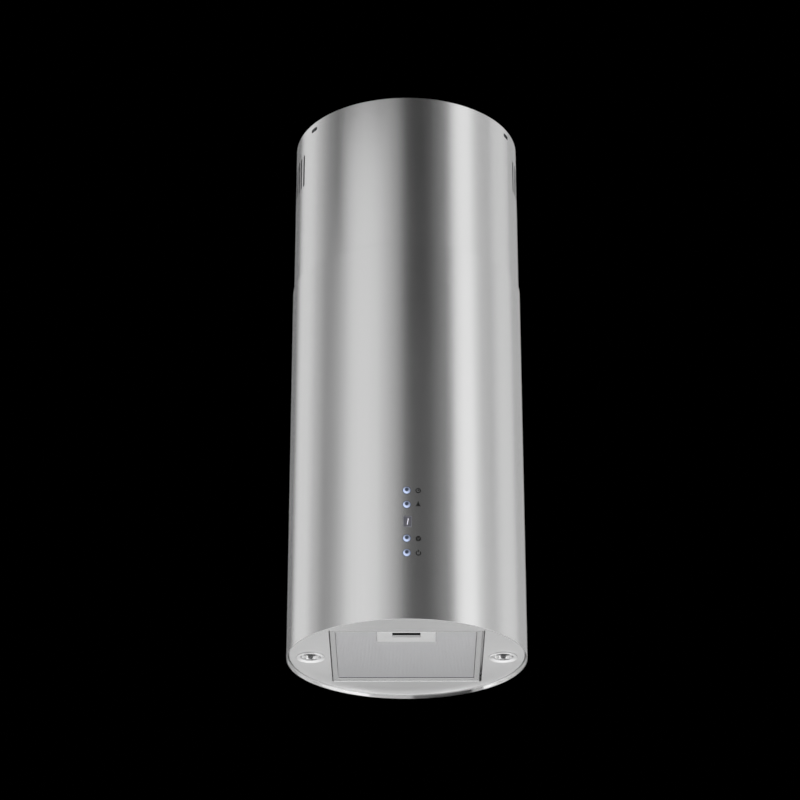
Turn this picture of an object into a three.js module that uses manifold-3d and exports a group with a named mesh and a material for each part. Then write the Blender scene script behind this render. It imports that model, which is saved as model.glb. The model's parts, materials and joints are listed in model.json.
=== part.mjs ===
// Cylindrical island range hood that hangs from a ceiling: a lower shell, a chimney that telescopes into it,
// and inside them a bolted post frame, a centrifugal blower, lamps, controls and a grease filter.
// Millimetres, +Z up, front towards -Y. The origin is the centre of the shell's bottom edge.

import * as THREE from 'three';
import { mergeVertices } from 'three/addons/utils/BufferGeometryUtils.js';
import Module from 'manifold-3d';

const wasm = await Module();
wasm.setup();

// ---------------------------------------------------------------- driving dimensions

const overallHeight = 919.4;
const seatGap = 0.3; // between two pieces that touch
const ringSides = 60; // facets of the large round sheets
const smallSides = 20; // facets of the small round pieces
const past = 9; // how far a tool that cuts runs beyond what it cuts

// shell and chimney
const shellRadius = 190;
const shellWall = 1;
const shellHeight = 645;
const telescopeGap = 0.8;
const chimneyWall = 1;
const chimneyLength = 440;
const chimneyTurn = 3.5; // degrees that the chimney stands turned from the shell
const ventHeight = 60;
const ventWidth = 5.6;
const ventPitch = 4; // degrees
const ventsPerSide = 11;
const ventTopDrop = 44; // from the chimney's top edge
const tabSlotLength = 15;
const tabSlotHeight = 5;
const tabSlotDrop = 14;

// bottom panel, ring and rails
const panelRise = 6.3;
const panelSheet = 1.2;
const panelGap = 2.2;
const panelFlange = 15.7;
const openingOffset = 0.25; // the filter's opening is this much off square on each side
const ledgeWidth = 12;
const ringSheet = 1.2;
const ringWidth = 15.95;
const ringLegHeight = 22;
const railWidth = 13;
const railHeight = 26;
const railSheet = 1.5;
const railClear = 2.45; // from the rails' corners to the mounting ring
const railInset = 0.7; // from the outer face of the panel's well
const ringClear = 1; // from the well and the lamps to the mounting ring

// grease filter
const filterGap = 2; // between the filter and its opening, front and rear
const filterThick = 10;
const filterRecess = 1.7;
const filterShift = 0.8; // the filter sits this far left in its opening
const filterSheet = 1.6;
const lipWidth = 9.5;
const lipThick = 1;
const faceMeshThick = 1;
const hingeInset = 7;
const hingePinRadius = 2;
const hingePinProud = 0.8; // past the well's outer face
const handleWidth = 91;
const handleDepth = 44;
const handleSheet = 0.8;
const handleSlotWidth = 43.4;
const handleSlotDepth = 17.5;
const handleSlotInset = 3;
const fingerGapDepth = 11.3;
const pocketSheet = 1;
const pocketLap = 0.7; // the pocket's hollow runs this far past the slot's front
const pocketSlack = 0.5; // behind the latch when it is drawn
const boltWidth = 24;
const boltThick = 1.2;
const boltRise = 0.8; // above the filter's middle
const boltProud = 1.2; // past the well's outer face
const latchSheet = 1;
const latchLap = 4; // of the latch's lip behind the slot
const latchTravel = 4.5;

// lamps
const lampMargin = 8;
const bezelRadius = 22.3;
const bezelDepth = 2.4;
const bezelNeck = 6; // above the panel
const lampAperture = 16.8;
const lampCanSheet = 1.2;
const lampCanHeight = 38;
const reflectorDepth = 22;
const reflectorWall = 0.8;
const capsuleRadius = 4;
const lampBaseRadius = 6.5;
const lampBaseHeight = 6;

// post frame
const postClear = 7.2; // from the upper posts' corners to the chimney
const postLeg = 20;
const postSheet = 2;
const postEnd = 25; // of the upper posts below their slots
const frameBoltRadius = 3;
const frameBoltHeight = 660;
const boltHeadRadius = 5.4;
const boltHeadHeight = 3.4;
const nutHeight = 2.8;
const heightTravel = 100; // up and down
const ceilingSheet = 3;
const ceilingDiscClear = 5.2; // from the ceiling plate to the chimney
const ductClear = 7; // from the duct to the ceiling plate's hole
const ceilingSlotRadius = 128;
const ceilingSlotLength = 30;
const ceilingSlotWidth = 8;
const ceilingTabWidth = 20;
const ceilingTabHeight = 24;
const ceilingTabRoot = 12; // of each tab on the disc
const tabScrewRadius = 2;

// blower
const blowerY = -35;
const blowerZ = 190;
const impellerRadius = 80;
const impellerHalfWidth = 64.5;
const bladeCount = 18;
const bladeDepth = 12;
const bladePitch = 30; // degrees
const bladeThick = 1.2;
const wheelSheet = 2;
const hubRadius = 12;
const hubHalfLength = 9;
const shaftRadius = 4;
const shaftStub = 3; // past the hub's left end
const shaftDepth = 20; // inside the motor
const tongueGap = 8; // from the impeller to the scroll at the tongue
const scrollGrowth = 37; // from the tongue to the outlet wall
const tongueAngle = 60; // degrees above the rear
const scrollHalfWidth = 85;
const scrollSheet = 1.5;
const sideFlange = 4;
const outletTop = 343;
const outletFront = 78;
const footHeight = 8;
const footHalfLength = 80;
const stripInset = 1;
const inletThroat = 70;
const inletHole = 81;
const inletFlange = 86;
const inletSheet = 1;
const inletLip = 1.2;
const mouthGap = 3.5; // from the impeller to the inlet ring's mouth
const motorFace = 12; // from the blower's middle
const motorRadius = 42;
const motorLength = 58;
const motorEdge = 4;
const motorBossRadius = 16;
const motorSpigotRadius = 18;
const bracketSheet = 2;
const bracketHub = 24;
const bracketBand = 7;
const bracketArm = 12;
const collarRadius = 75;
const collarSheet = 1.2;
const collarHeight = 55;
const collarFlange = 5;
const flapHeight = 35; // above the collar's foot
const flapSheet = 1;
const flapRodRadius = 1.8;
const flapRodOffset = 4.5;
const flapLedge = 3.3;
const flapLedgeSheet = 1.6;
const flapSleeveWall = 1.3;
const flapClear = 1.3; // from a flap's edge to the collar
const sleeveClear = 2; // from a sleeve's end to the ledge

// electrics
const boxWidth = 120;
const boxHeight = 50;
const boxSheet = 1.5;
const boxInset = 2; // from the tie plate's rear edge
const boxClear = 4.7; // from the collar's flange
const glandRadius = 9;
const glandBore = 5;
const glandFoot = 6;
const glandNeck = 7;
const glandHeight = 15;
const capacitorRadius = 16;
const capacitorLength = 60;
const leadRadius = 2.5;
const leadClear = 4; // from what a lead passes
const leadBend = 16;
const leadLift = 8; // above the tie plate

// controls, stacked above each other on the front of the shell
const buttonRadius = 6.3;
const lightHeight = 187;
const buttonPitch = 23.8; // within the upper and the lower pair
const displayPitch = 28; // from a pair to the display between them
const displayZ = lightHeight - displayPitch;
const timerHeight = lightHeight + buttonPitch;
const fanHeight = displayZ - displayPitch;
const powerHeight = fanHeight - buttonPitch;
const buttonHeights = { timer: timerHeight, light: lightHeight, fan: fanHeight, power: powerHeight };
const buttonProud = 0.8;
const buttonTravel = 1.2;
const displayX = 1.2;
const displayWidth = 13;
const displayHeight = 18;
const displayRim = 1.5; // round the window, behind the shell
const paneRecess = 0.1;
const buttonFlange = 1.3;
const flangeSheet = 1;
const flangeBack = 0.7; // from the shell's inner face
const stemRadius = 3;
const switchHeight = 1.3;
const switchHalf = 3;
const switchSlack = 0.1; // left between stem and switch when a button is pressed home
const carrierHalfWidth = 28;
const carrierSheet = 2;
const carrierSlack = 0.6; // behind a pressed button
const lugHalfWidth = 10;
const lugHeight = 8;
const lugGap = 2.4; // between a button and the lug beyond it
const boardGap = 9.2;
const boardSheet = 1.6;
const boardInset = 3; // from the carrier's sides
const bossRadius = 3;
const bossInset = 7;

// ---------------------------------------------------------------- solids

const radians = THREE.MathUtils.degToRad;

// A closed triangle mesh as a solid whose faces point outwards.
function solidOf(geometry) {
  const bare = geometry.clone();
  bare.deleteAttribute('normal');
  bare.deleteAttribute('uv');
  const merged = mergeVertices(bare, 1e-4);
  const place = merged.attributes.position.array;
  const index = merged.index.array;
  const triangles = [];
  for (let i = 0; i < index.length; i += 3) {
    const [a, b, c] = [index[i], index[i + 1], index[i + 2]];
    if (a !== b && b !== c && c !== a) triangles.push([a, b, c]);
  }
  const corner = (i) => new THREE.Vector3().fromArray(place, 3 * i);
  let volume = 0;
  for (const [a, b, c] of triangles) volume += corner(a).dot(corner(b).cross(corner(c)));
  const faces = volume < 0 ? triangles.map(([a, b, c]) => [a, c, b]) : triangles;
  const mesh = new wasm.Mesh({
    numProp: 3,
    vertProperties: new Float32Array(place),
    triVerts: new Uint32Array(faces.flat()),
  });
  return new wasm.Manifold(mesh);
}

function join(...solids) {
  return solids.reduce((whole, solid) => whole.add(solid));
}

function cut(whole, ...tools) {
  return tools.reduce((rest, tool) => rest.subtract(tool), whole);
}

// A block from one corner to the opposite one.
function block(x0, x1, y0, y1, z0, z1) {
  const box = new THREE.BoxGeometry(x1 - x0, y1 - y0, z1 - z0);
  box.translate((x0 + x1) / 2, (y0 + y1) / 2, (z0 + z1) / 2);
  return solidOf(box);
}

// A block that is centred on x = centre and on y = 0.
function slab(centre, halfX, halfY, z0, z1) {
  return block(centre - halfX, centre + halfX, -halfY, halfY, z0, z1);
}

// Two distances on one side of the axis, the lower one first.
function span(side, near, far) {
  return [Math.min(side * near, side * far), Math.max(side * near, side * far)];
}

// A round bar between two points.
function rod(radius, from, to, sides = smallSides) {
  const start = new THREE.Vector3(...from);
  const end = new THREE.Vector3(...to);
  const bar = new THREE.CylinderGeometry(radius, radius, start.distanceTo(end), sides);
  const along = end.clone().sub(start).normalize();
  bar.applyQuaternion(new THREE.Quaternion().setFromUnitVectors(new THREE.Vector3(0, 1, 0), along));
  bar.translate(...start.add(end).multiplyScalar(0.5).toArray());
  return solidOf(bar);
}

// A profile of [radius, height] points turned round the Z axis; it is closed if it leaves the axis.
function turnedShape(profile, sides) {
  const points = profile.map(([radius, height]) => new THREE.Vector2(radius, height));
  const onAxis = profile[0][0] === 0 && profile[profile.length - 1][0] === 0;
  if (!onAxis) points.push(points[0].clone());
  return new THREE.LatheGeometry(points, sides).rotateX(Math.PI / 2);
}

function turned(profile, sides = smallSides, x = 0, y = 0) {
  return solidOf(turnedShape(profile, sides).translate(x, y, 0));
}

// The same, turned round the blower's axis: heights run along +X.
function turnedOnBlower(profile, sides = smallSides) {
  const shape = turnedShape(profile, sides).rotateY(Math.PI / 2);
  return solidOf(shape.translate(0, blowerY, blowerZ));
}

function tube(outer, inner, z0, z1, sides = ringSides) {
  return turned([[inner, z0], [outer, z0], [outer, z1], [inner, z1]], sides);
}

// A solid disc from z0 to z1.
function roundPlate(radius, z0, z1, sides = smallSides, x = 0, y = 0) {
  return turned([[0, z0], [radius, z0], [radius, z1], [0, z1]], sides, x, y);
}

// An outline of [x, y] points as a plate from z0 to z1.
function plate(outline, z0, z1) {
  const shape = new THREE.Shape(outline.map(([x, y]) => new THREE.Vector2(x, y)));
  const sheet = new THREE.ExtrudeGeometry(shape, { depth: z1 - z0, bevelEnabled: false });
  return solidOf(sheet.translate(0, 0, z0));
}

// An outline of [y, z] points as a plate from x0 to x1.
function sidePlate(outline, x0, x1) {
  const shape = new THREE.Shape(outline.map(([y, z]) => new THREE.Vector2(y, z)));
  const sheet = new THREE.ExtrudeGeometry(shape, { depth: x1 - x0, bevelEnabled: false });
  const yzx = new THREE.Matrix4().makeBasis(
    new THREE.Vector3(0, 1, 0),
    new THREE.Vector3(0, 0, 1),
    new THREE.Vector3(1, 0, 0),
  );
  return solidOf(sheet.applyMatrix4(yzx).translate(x0, 0, 0));
}

// A bar with round ends, flat in the given plane, that cuts a slot.
function slotTool(radius, from, to, reach) {
  const [a, b] = [new THREE.Vector3(...from), new THREE.Vector3(...to)];
  const through = new THREE.Vector3(...reach);
  const shifted = (point, share) => point.clone().addScaledVector(through, share).toArray();
  const end = (point) => rod(radius, shifted(point, -1), shifted(point, 1), 12);
  const across = b.clone().sub(a);
  const bar = new THREE.BoxGeometry(across.length(), 2 * through.length(), 2 * radius);
  const basis = new THREE.Matrix4().makeBasis(
    across.clone().normalize(),
    through.clone().normalize(),
    across.clone().normalize().cross(through.clone().normalize()),
  );
  bar.applyMatrix4(basis);
  bar.translate(...a.clone().add(b).multiplyScalar(0.5).toArray());
  return join(end(a), end(b), solidOf(bar));
}

// Points on a circle about the Z axis, at an angle from the front towards +X.
function onCircle(radius, degrees, z) {
  return [radius * Math.sin(radians(degrees)), -radius * Math.cos(radians(degrees)), z];
}

// ---------------------------------------------------------------- the object

const hood = new THREE.Group();

const finishes = {
  brushedSteel: { color: 0xb9babb, roughness: 0.35, metalness: 1 },
  galvanised: { color: 0x9fa3a6, roughness: 0.5, metalness: 0.9 },
  aluminium: { color: 0xc4c6c8, roughness: 0.4, metalness: 1 },
  chrome: { color: 0xe4e6e8, roughness: 0.1, metalness: 1 },
  blackSteel: { color: 0x2a2b2d, roughness: 0.55, metalness: 0.3 },
  blackPlastic: { color: 0x1b1c1e, roughness: 0.6, metalness: 0 },
  whitePlastic: { color: 0xd9d9d4, roughness: 0.5, metalness: 0 },
  darkGlass: { color: 0x3a3c44, roughness: 0.08, metalness: 0 },
  greenBoard: { color: 0x245a36, roughness: 0.5, metalness: 0 },
  rubber: { color: 0x161616, roughness: 0.9, metalness: 0 },
};

function add(name, solid, finish) {
  const { vertProperties, triVerts } = solid.getMesh();
  const geometry = new THREE.BufferGeometry();
  geometry.setAttribute('position', new THREE.BufferAttribute(new Float32Array(vertProperties), 3));
  geometry.setIndex(new THREE.BufferAttribute(new Uint32Array(triVerts), 1));
  geometry.computeVertexNormals();
  const mesh = new THREE.Mesh(geometry, new THREE.MeshStandardMaterial(finishes[finish]));
  mesh.name = name;
  hood.add(mesh);
}

const sides = [['left', -1], ['right', 1]];
const corners = [
  ['front_left', -1, -1],
  ['front_right', 1, -1],
  ['rear_left', -1, 1],
  ['rear_right', 1, 1],
];

// ---------------------------------------------------------------- shell and chimney

const shellInner = shellRadius - shellWall;
const chimneyOuter = shellInner - telescopeGap;
const chimneyInner = chimneyOuter - chimneyWall;
const chimneyTop = overallHeight - seatGap;
const chimneyBottom = chimneyTop - chimneyLength;
const buttonList = Object.entries(buttonHeights);

function makeShell() {
  const wall = tube(shellRadius, shellInner, 0, shellHeight);
  const holes = buttonList.map(([, z]) =>
    rod(buttonRadius + seatGap, [0, -shellRadius - past, z], [0, -shellInner + past, z]),
  );
  const halfWidth = displayWidth / 2 + seatGap;
  const halfHeight = displayHeight / 2 + seatGap;
  const pane = block(
    displayX - halfWidth, displayX + halfWidth, -shellRadius - past, -shellInner + past,
    displayZ - halfHeight, displayZ + halfHeight,
  );
  add('lower_shell', cut(wall, ...holes, pane), 'brushedSteel');
}

function makeChimney() {
  let wall = tube(chimneyOuter, chimneyInner, chimneyBottom, chimneyTop);
  const ventTop = chimneyTop - ventTopDrop;
  const firstVent = -ventPitch * (ventsPerSide - 1) / 2;
  for (const middle of [-90, 90]) {
    for (let i = 0; i < ventsPerSide; i++) {
      const vent = new THREE.BoxGeometry(ventWidth, 2 * past, ventHeight);
      vent.translate(0, -chimneyOuter + chimneyWall / 2, ventTop - ventHeight / 2);
      vent.rotateZ(radians(middle + chimneyTurn + firstVent + i * ventPitch));
      wall = cut(wall, solidOf(vent));
    }
  }
  for (const angle of tabAngles()) wall = cut(wall, tabSlot(angle, chimneyOuter));
  add('upper_chimney', wall, 'brushedSteel');
}

// Three screws hold the chimney to the ceiling plate's tabs.
function tabAngles() {
  return [-60, 60, 180].map((angle) => angle + chimneyTurn);
}

function tabSlot(angle, radius) {
  const halfRun = (tabSlotLength - tabSlotHeight) / 2;
  const z = chimneyTop - tabSlotDrop;
  const middle = new THREE.Vector3(...onCircle(radius, angle, z));
  const tangent = new THREE.Vector3(...onCircle(halfRun, angle + 90, 0));
  const through = onCircle(past, angle, 0);
  const [from, to] = [middle.clone().sub(tangent), middle.clone().add(tangent)];
  return slotTool(tabSlotHeight / 2, from.toArray(), to.toArray(), through);
}

// ---------------------------------------------------------------- bottom panel, ring and rails

const panelRadius = shellInner - panelGap;
const panelTop = panelRise + panelSheet;
const ringBottom = panelRise + panelFlange + seatGap;
const ringTop = ringBottom + ringSheet;
const ringOuter = shellInner - seatGap;
const ringInner = ringOuter - ringWidth;
const neckRadius = lampAperture + lampCanSheet;
const lampCanRadius = neckRadius + seatGap + lampCanSheet;

// The filter's square well fills the mounting ring, or as much of it as the lamps leave.
const wellHalf = Math.min(
  (ringInner - ringClear) / Math.SQRT2,
  ringInner - ringClear - lampCanRadius - bezelRadius - lampMargin,
);
const openingX = wellHalf + openingOffset - panelSheet;
const openingY = wellHalf - openingOffset - panelSheet;
const lampX = openingX + panelSheet + lampMargin + bezelRadius;
const railOuterX = openingX + panelSheet - railInset;
const railInnerX = railOuterX - railWidth;
const railBottom = ringTop + seatGap;
const railTop = railBottom + railHeight;
const railHalf = Math.sqrt((ringOuter - ringSheet - railClear) ** 2 - railOuterX ** 2);
const filterBottom = panelRise + filterRecess;
const filterHalf = openingY - filterGap;
const hingeY = filterHalf - hingeInset;
const hingeZ = filterBottom + filterThick / 2;
const boltZ = hingeZ + boltRise;

// The hole that the latch's bolt passes in a wall from one depth to another.
function boltHole(clearance, from, to) {
  const half = boltWidth / 2 + clearance;
  return block(
    -filterShift - half, -filterShift + half, from - past, to + past,
    boltZ - boltThick / 2 - clearance, boltZ + boltThick / 2 + clearance,
  );
}

function makePanel() {
  const disc = roundPlate(panelRadius, panelRise, panelTop, ringSides);
  const flange = tube(panelRadius, panelRadius - panelSheet, panelRise, panelRise + panelFlange);
  const well = slab(0, openingX + panelSheet, openingY + panelSheet, panelRise, ringTop);
  const hollow = slab(0, openingX, openingY, panelRise - past, ringTop - panelSheet);
  const passage = slab(0, openingX - ledgeWidth, openingY - ledgeWidth, panelRise - past, ringTop + past);
  const lampHoles = sides.map(([, side]) =>
    roundPlate(neckRadius + seatGap, panelRise - past, panelTop + past, smallSides, side * lampX),
  );
  const pinEnds = [-1, 1].map((end) => [end * (openingX + past), hingeY, hingeZ]);
  const pinHole = rod(hingePinRadius + seatGap, ...pinEnds);
  const slot = boltHole(2 * seatGap, -openingY - panelSheet, -openingY);
  const pan = join(disc, flange, well);
  add('bottom_panel', cut(pan, hollow, passage, ...lampHoles, pinHole, slot), 'brushedSteel');
}

function makeRing() {
  const legTop = ringBottom + ringLegHeight;
  const profile = [
    [ringInner, ringBottom], [ringOuter, ringBottom], [ringOuter, legTop],
    [ringOuter - ringSheet, legTop], [ringOuter - ringSheet, ringTop], [ringInner, ringTop],
  ];
  add('mounting_ring', turned(profile, ringSides), 'galvanised');
}

function makeRails() {
  for (const [name, side] of sides) {
    const bar = block(...span(side, railInnerX, railOuterX), -railHalf, railHalf, railBottom, railTop);
    const groove = block(
      ...span(side, railInnerX - past, railOuterX - railSheet),
      -railHalf - past, railHalf + past, railBottom + railSheet, railTop - railSheet,
    );
    add(`chassis_rail_${name}`, cut(bar, groove), 'galvanised');
  }
}

// ---------------------------------------------------------------- grease filter

const filterTop = filterBottom + filterThick;
const packHalf = filterHalf - filterSheet - seatGap;
const faceMeshBottom = filterBottom + lipThick + seatGap;
const coreBottom = faceMeshBottom + faceMeshThick + seatGap;
const coreTop = filterTop - lipThick - seatGap;
const handleTop = faceMeshBottom - seatGap;
const handleBottom = handleTop - handleSheet;
const handleFront = -filterHalf + lipWidth + seatGap;
const slotFront = handleFront + handleSlotInset;
const slotRear = slotFront + handleSlotDepth;
const pocketHalf = handleSlotWidth / 2 + seatGap;
const pocketFront = slotFront - pocketLap;
const lipRear = slotRear + latchLap;
const pocketRear = lipRear + latchTravel + pocketSlack;
const pocketTop = coreTop - seatGap;

function makeFilterFrame() {
  const inner = filterHalf - filterSheet;
  const mouth = filterHalf - lipWidth;
  const bar = slab(-filterShift, filterHalf, filterHalf, filterBottom, filterTop);
  const channel = slab(-filterShift, inner, inner, filterBottom + lipThick, filterTop - lipThick);
  const window = slab(-filterShift, mouth, mouth, filterBottom - past, filterTop + past);
  const pinStart = filterHalf - filterSheet / 2;
  const pinEnd = openingX + panelSheet + hingePinProud;
  const pins = sides.map(([, side]) =>
    rod(hingePinRadius, [side * pinStart - filterShift, hingeY, hingeZ], [side * pinEnd, hingeY, hingeZ]),
  );
  const slot = boltHole(seatGap, -filterHalf, -inner);
  add('filter_frame', join(cut(bar, channel, window, slot), ...pins), 'aluminium');
}

function makeFilterPack() {
  const notchHalf = pocketHalf + pocketSheet + seatGap;
  const notchRear = pocketRear + pocketSheet + seatGap;
  const notch = [-filterShift - notchHalf, -filterShift + notchHalf, -packHalf - past, notchRear];
  const face = slab(-filterShift, packHalf, packHalf, faceMeshBottom, faceMeshBottom + faceMeshThick);
  const core = slab(-filterShift, packHalf, packHalf, coreBottom, coreTop);
  add('filter_face_mesh', cut(face, block(...notch, 0, filterTop)), 'aluminium');
  add('filter_core', cut(core, block(...notch, 0, filterTop)), 'aluminium');
}

function makeFilterHandle() {
  const [left, right] = [-filterShift - handleWidth / 2, -filterShift + handleWidth / 2];
  const face = block(left, right, handleFront, handleFront + handleDepth, handleBottom, handleTop);
  const outer = pocketHalf + pocketSheet;
  const shell = block(
    -filterShift - outer, -filterShift + outer,
    pocketFront - pocketSheet, pocketRear + pocketSheet,
    handleTop - handleSheet / 2, pocketTop,
  );
  const hollow = block(
    -filterShift - pocketHalf, -filterShift + pocketHalf,
    pocketFront, pocketRear, handleTop, pocketTop - pocketSheet,
  );
  const mouthHalf = handleSlotWidth / 2;
  const mouth = block(
    -filterShift - mouthHalf, -filterShift + mouthHalf,
    slotFront, slotRear, handleBottom - past, handleTop + seatGap,
  );
  const slot = boltHole(seatGap, pocketFront - pocketSheet, pocketFront);
  add('filter_handle', cut(join(face, shell), hollow, mouth, slot), 'aluminium');
}

function makeFilterLatch() {
  const lipHalf = pocketHalf - 2 * seatGap;
  const lipFront = slotFront + fingerGapDepth;
  const lipBottom = handleTop + seatGap;
  const tip = -openingY - panelSheet - boltProud;
  const [left, right] = [-filterShift - lipHalf, -filterShift + lipHalf];
  const lip = block(left, right, lipFront, lipRear, lipBottom, lipBottom + latchSheet);
  const web = block(left, right, lipFront, lipFront + latchSheet, lipBottom, boltZ + boltThick / 2);
  const bolt = block(
    -filterShift - boltWidth / 2, -filterShift + boltWidth / 2,
    tip, lipFront + latchSheet / 2, boltZ - boltThick / 2, boltZ + boltThick / 2,
  );
  add('filter_latch', join(lip, web, bolt), 'aluminium');
}

// ---------------------------------------------------------------- lamps

function makeLamps() {
  for (const [name, side] of sides) {
    const x = side * lampX;
    const bezelTop = panelRise - seatGap;
    const bezelBottom = bezelTop - bezelDepth;
    const neckTop = panelTop + bezelNeck;
    const edge = bezelDepth / 4;
    const bezel = [
      [lampAperture, bezelBottom + edge], [lampAperture + 2 * edge, bezelBottom],
      [bezelRadius - 4 * edge, bezelBottom], [bezelRadius - 1.5 * edge, bezelBottom + edge],
      [bezelRadius, bezelTop - edge], [bezelRadius, bezelTop],
      [neckRadius, bezelTop], [neckRadius, neckTop], [lampAperture, neckTop],
    ];
    add(`lamp_bezel_${name}`, turned(bezel, smallSides, x), 'chrome');

    // The lamp is a dished reflector with its glass capsule and base in one piece.
    const cupRadius = lampAperture - seatGap;
    const depth = (share) => panelTop + share * reflectorDepth;
    const baseTop = depth(1) + lampBaseHeight;
    const cup = [
      [0, depth(0.18)], [0.8 * capsuleRadius, depth(0.24)],
      [capsuleRadius, depth(0.36)], [capsuleRadius, depth(0.73)],
      [0.55 * cupRadius, depth(0.7)], [0.85 * cupRadius, depth(0.36)],
      [cupRadius - reflectorWall, depth(0)], [cupRadius, depth(0)],
      [0.9 * cupRadius, depth(0.41)], [0.6 * cupRadius, depth(0.8)],
      [lampBaseRadius, depth(0.86)], [lampBaseRadius, baseTop], [0, baseTop],
    ];
    add(`lamp_${name}`, turned(cup, smallSides, x), 'chrome');

    // The can stands on the panel; its crown holds the lamp's base.
    const canBottom = panelTop + seatGap;
    const canTop = panelTop + lampCanHeight;
    const canInner = lampCanRadius - lampCanSheet;
    const socket = lampBaseRadius + seatGap;
    const crown = socket + 2 * lampCanSheet;
    const crownFoot = depth(1) + lampCanSheet;
    const can = [
      [canInner, canBottom], [lampCanRadius, canBottom], [lampCanRadius, canTop], [0, canTop],
      [0, baseTop + seatGap], [socket, baseTop + seatGap], [socket, crownFoot],
      [crown, crownFoot], [crown, canTop - lampCanSheet], [canInner, canTop - lampCanSheet],
    ];
    add(`lamp_can_${name}`, turned([...can, can[0]], smallSides, x), 'galvanised');
  }
}

// ---------------------------------------------------------------- ceiling plate and posts

const plateBottom = overallHeight - ceilingSheet;
const ceilingDiscRadius = chimneyInner - ceilingDiscClear;
const upperPostReach = (chimneyInner - postClear) / Math.SQRT2; // from the axis to the outer faces
const postReach = upperPostReach - seatGap - postSheet;
const tiePlateHalf = postReach - postSheet - seatGap;
const tiePlateBottom = outletTop + seatGap;
const tiePlateTop = tiePlateBottom + scrollSheet;

function makeCeilingPlate() {
  const disc = tube(ceilingDiscRadius, collarRadius + ductClear, plateBottom, overallHeight);
  const halfTab = ceilingTabWidth / 2;
  const innerFace = chimneyInner * Math.cos(Math.PI / ringSides);
  const tabFace = Math.sqrt((innerFace - seatGap) ** 2 - halfTab ** 2);
  const tabs = tabAngles().map((angle) => {
    const root = ceilingDiscRadius - ceilingTabRoot;
    const arm = new THREE.BoxGeometry(ceilingTabWidth, tabFace - root, ceilingSheet);
    arm.translate(0, -(tabFace + root) / 2, overallHeight - ceilingSheet / 2);
    arm.rotateZ(radians(angle));
    const leg = new THREE.BoxGeometry(ceilingTabWidth, ceilingSheet, ceilingTabHeight);
    leg.translate(0, -tabFace + ceilingSheet / 2, overallHeight - ceilingTabHeight / 2);
    leg.rotateZ(radians(angle));
    const screwZ = chimneyTop - tabSlotDrop;
    const holeEnds = [-past, past].map((shift) => onCircle(tabFace + shift, angle, screwZ));
    const hole = rod(tabScrewRadius, ...holeEnds, 12);
    return cut(join(solidOf(arm), solidOf(leg)), hole);
  });
  const halfRun = (ceilingSlotLength - ceilingSlotWidth) / 2;
  const slots = [0, 90, 180, 270].map((angle) => {
    const middle = new THREE.Vector3(...onCircle(ceilingSlotRadius, angle, overallHeight));
    const tangent = new THREE.Vector3(...onCircle(halfRun, angle + 90, 0));
    const ends = [middle.clone().sub(tangent).toArray(), middle.clone().add(tangent).toArray()];
    return slotTool(ceilingSlotWidth / 2, ...ends, [0, 0, 2 * ceilingSheet]);
  });
  add('ceiling_plate', cut(join(disc, ...tabs), ...slots), 'galvanised');
}

// An angle profile whose outer corner is at (reach, reach), mirrored into its own corner of the frame.
function angleProfile(reach, sideX, sideY, z0, z1) {
  const inner = reach - postSheet;
  const end = reach - postLeg;
  const outline = [[reach, reach], [end, reach], [end, inner], [inner, inner], [inner, end], [reach, end]];
  return plate(outline.map(([x, y]) => [sideX * x, sideY * y]), z0, z1);
}

function makePosts() {
  const upperBottom = frameBoltHeight - heightTravel - postEnd;
  const lowerTop = frameBoltHeight + heightTravel;
  const boltInset = postReach - postLeg / 2;
  for (const [name, sideX, sideY] of corners) {
    const x = sideX * boltInset;
    const y = sideY * postReach;
    const upper = angleProfile(upperPostReach, sideX, sideY, upperBottom, plateBottom - seatGap);
    const lower = angleProfile(postReach, sideX, sideY, railTop + seatGap, lowerTop);
    const slotEnds = [[x, y, frameBoltHeight - heightTravel], [x, y, frameBoltHeight + heightTravel]];
    const slot = slotTool(frameBoltRadius + seatGap, ...slotEnds, [0, 3 * postSheet, 0]);
    const holeEnds = [-past, past].map((shift) => [x, y + shift, frameBoltHeight]);
    const hole = rod(frameBoltRadius + seatGap, ...holeEnds, 12);
    add(`upper_post_${name}`, cut(upper, slot), 'galvanised');
    add(`lower_post_${name}`, cut(lower, hole), 'galvanised');

    // A bolt and its nut clamp the two profiles.
    const inner = sideY * (postReach - postSheet - seatGap);
    const outer = sideY * (upperPostReach + seatGap);
    const at = (depth) => [x, depth, frameBoltHeight];
    const shank = rod(frameBoltRadius, at(inner - sideY), at(outer + sideY), 12);
    const head = rod(boltHeadRadius, at(outer), at(outer + sideY * boltHeadHeight), 6);
    const nut = rod(boltHeadRadius, at(inner), at(inner - sideY * nutHeight), 6);
    add(`post_bolt_${name}`, join(shank, head, nut), 'chrome');
  }
}

function makeTiePlate() {
  const sheet = slab(0, tiePlateHalf, tiePlateHalf, tiePlateBottom, tiePlateTop);
  const hole = roundPlate(collarRadius - collarSheet, tiePlateBottom - past, tiePlateTop + past, 48);
  add('tie_plate', cut(sheet, hole), 'galvanised');
}

// ---------------------------------------------------------------- blower

const scrollStart = impellerRadius + tongueGap;
const outletRear = blowerY + scrollStart + scrollGrowth;
const sideInner = scrollHalfWidth + seatGap;
const sideOuter = sideInner + scrollSheet;

// The spiral from the tongue round to the outlet's rear wall, grown outwards by an offset.
function spiral(offset) {
  const points = [];
  const steps = 30;
  for (let i = 0; i <= steps; i++) {
    const angle = radians(tongueAngle + (360 - tongueAngle) * i / steps);
    const radius = scrollStart + scrollGrowth * i / steps + offset;
    points.push([blowerY + radius * Math.cos(angle), blowerZ + radius * Math.sin(angle)]);
  }
  return points;
}

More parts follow.
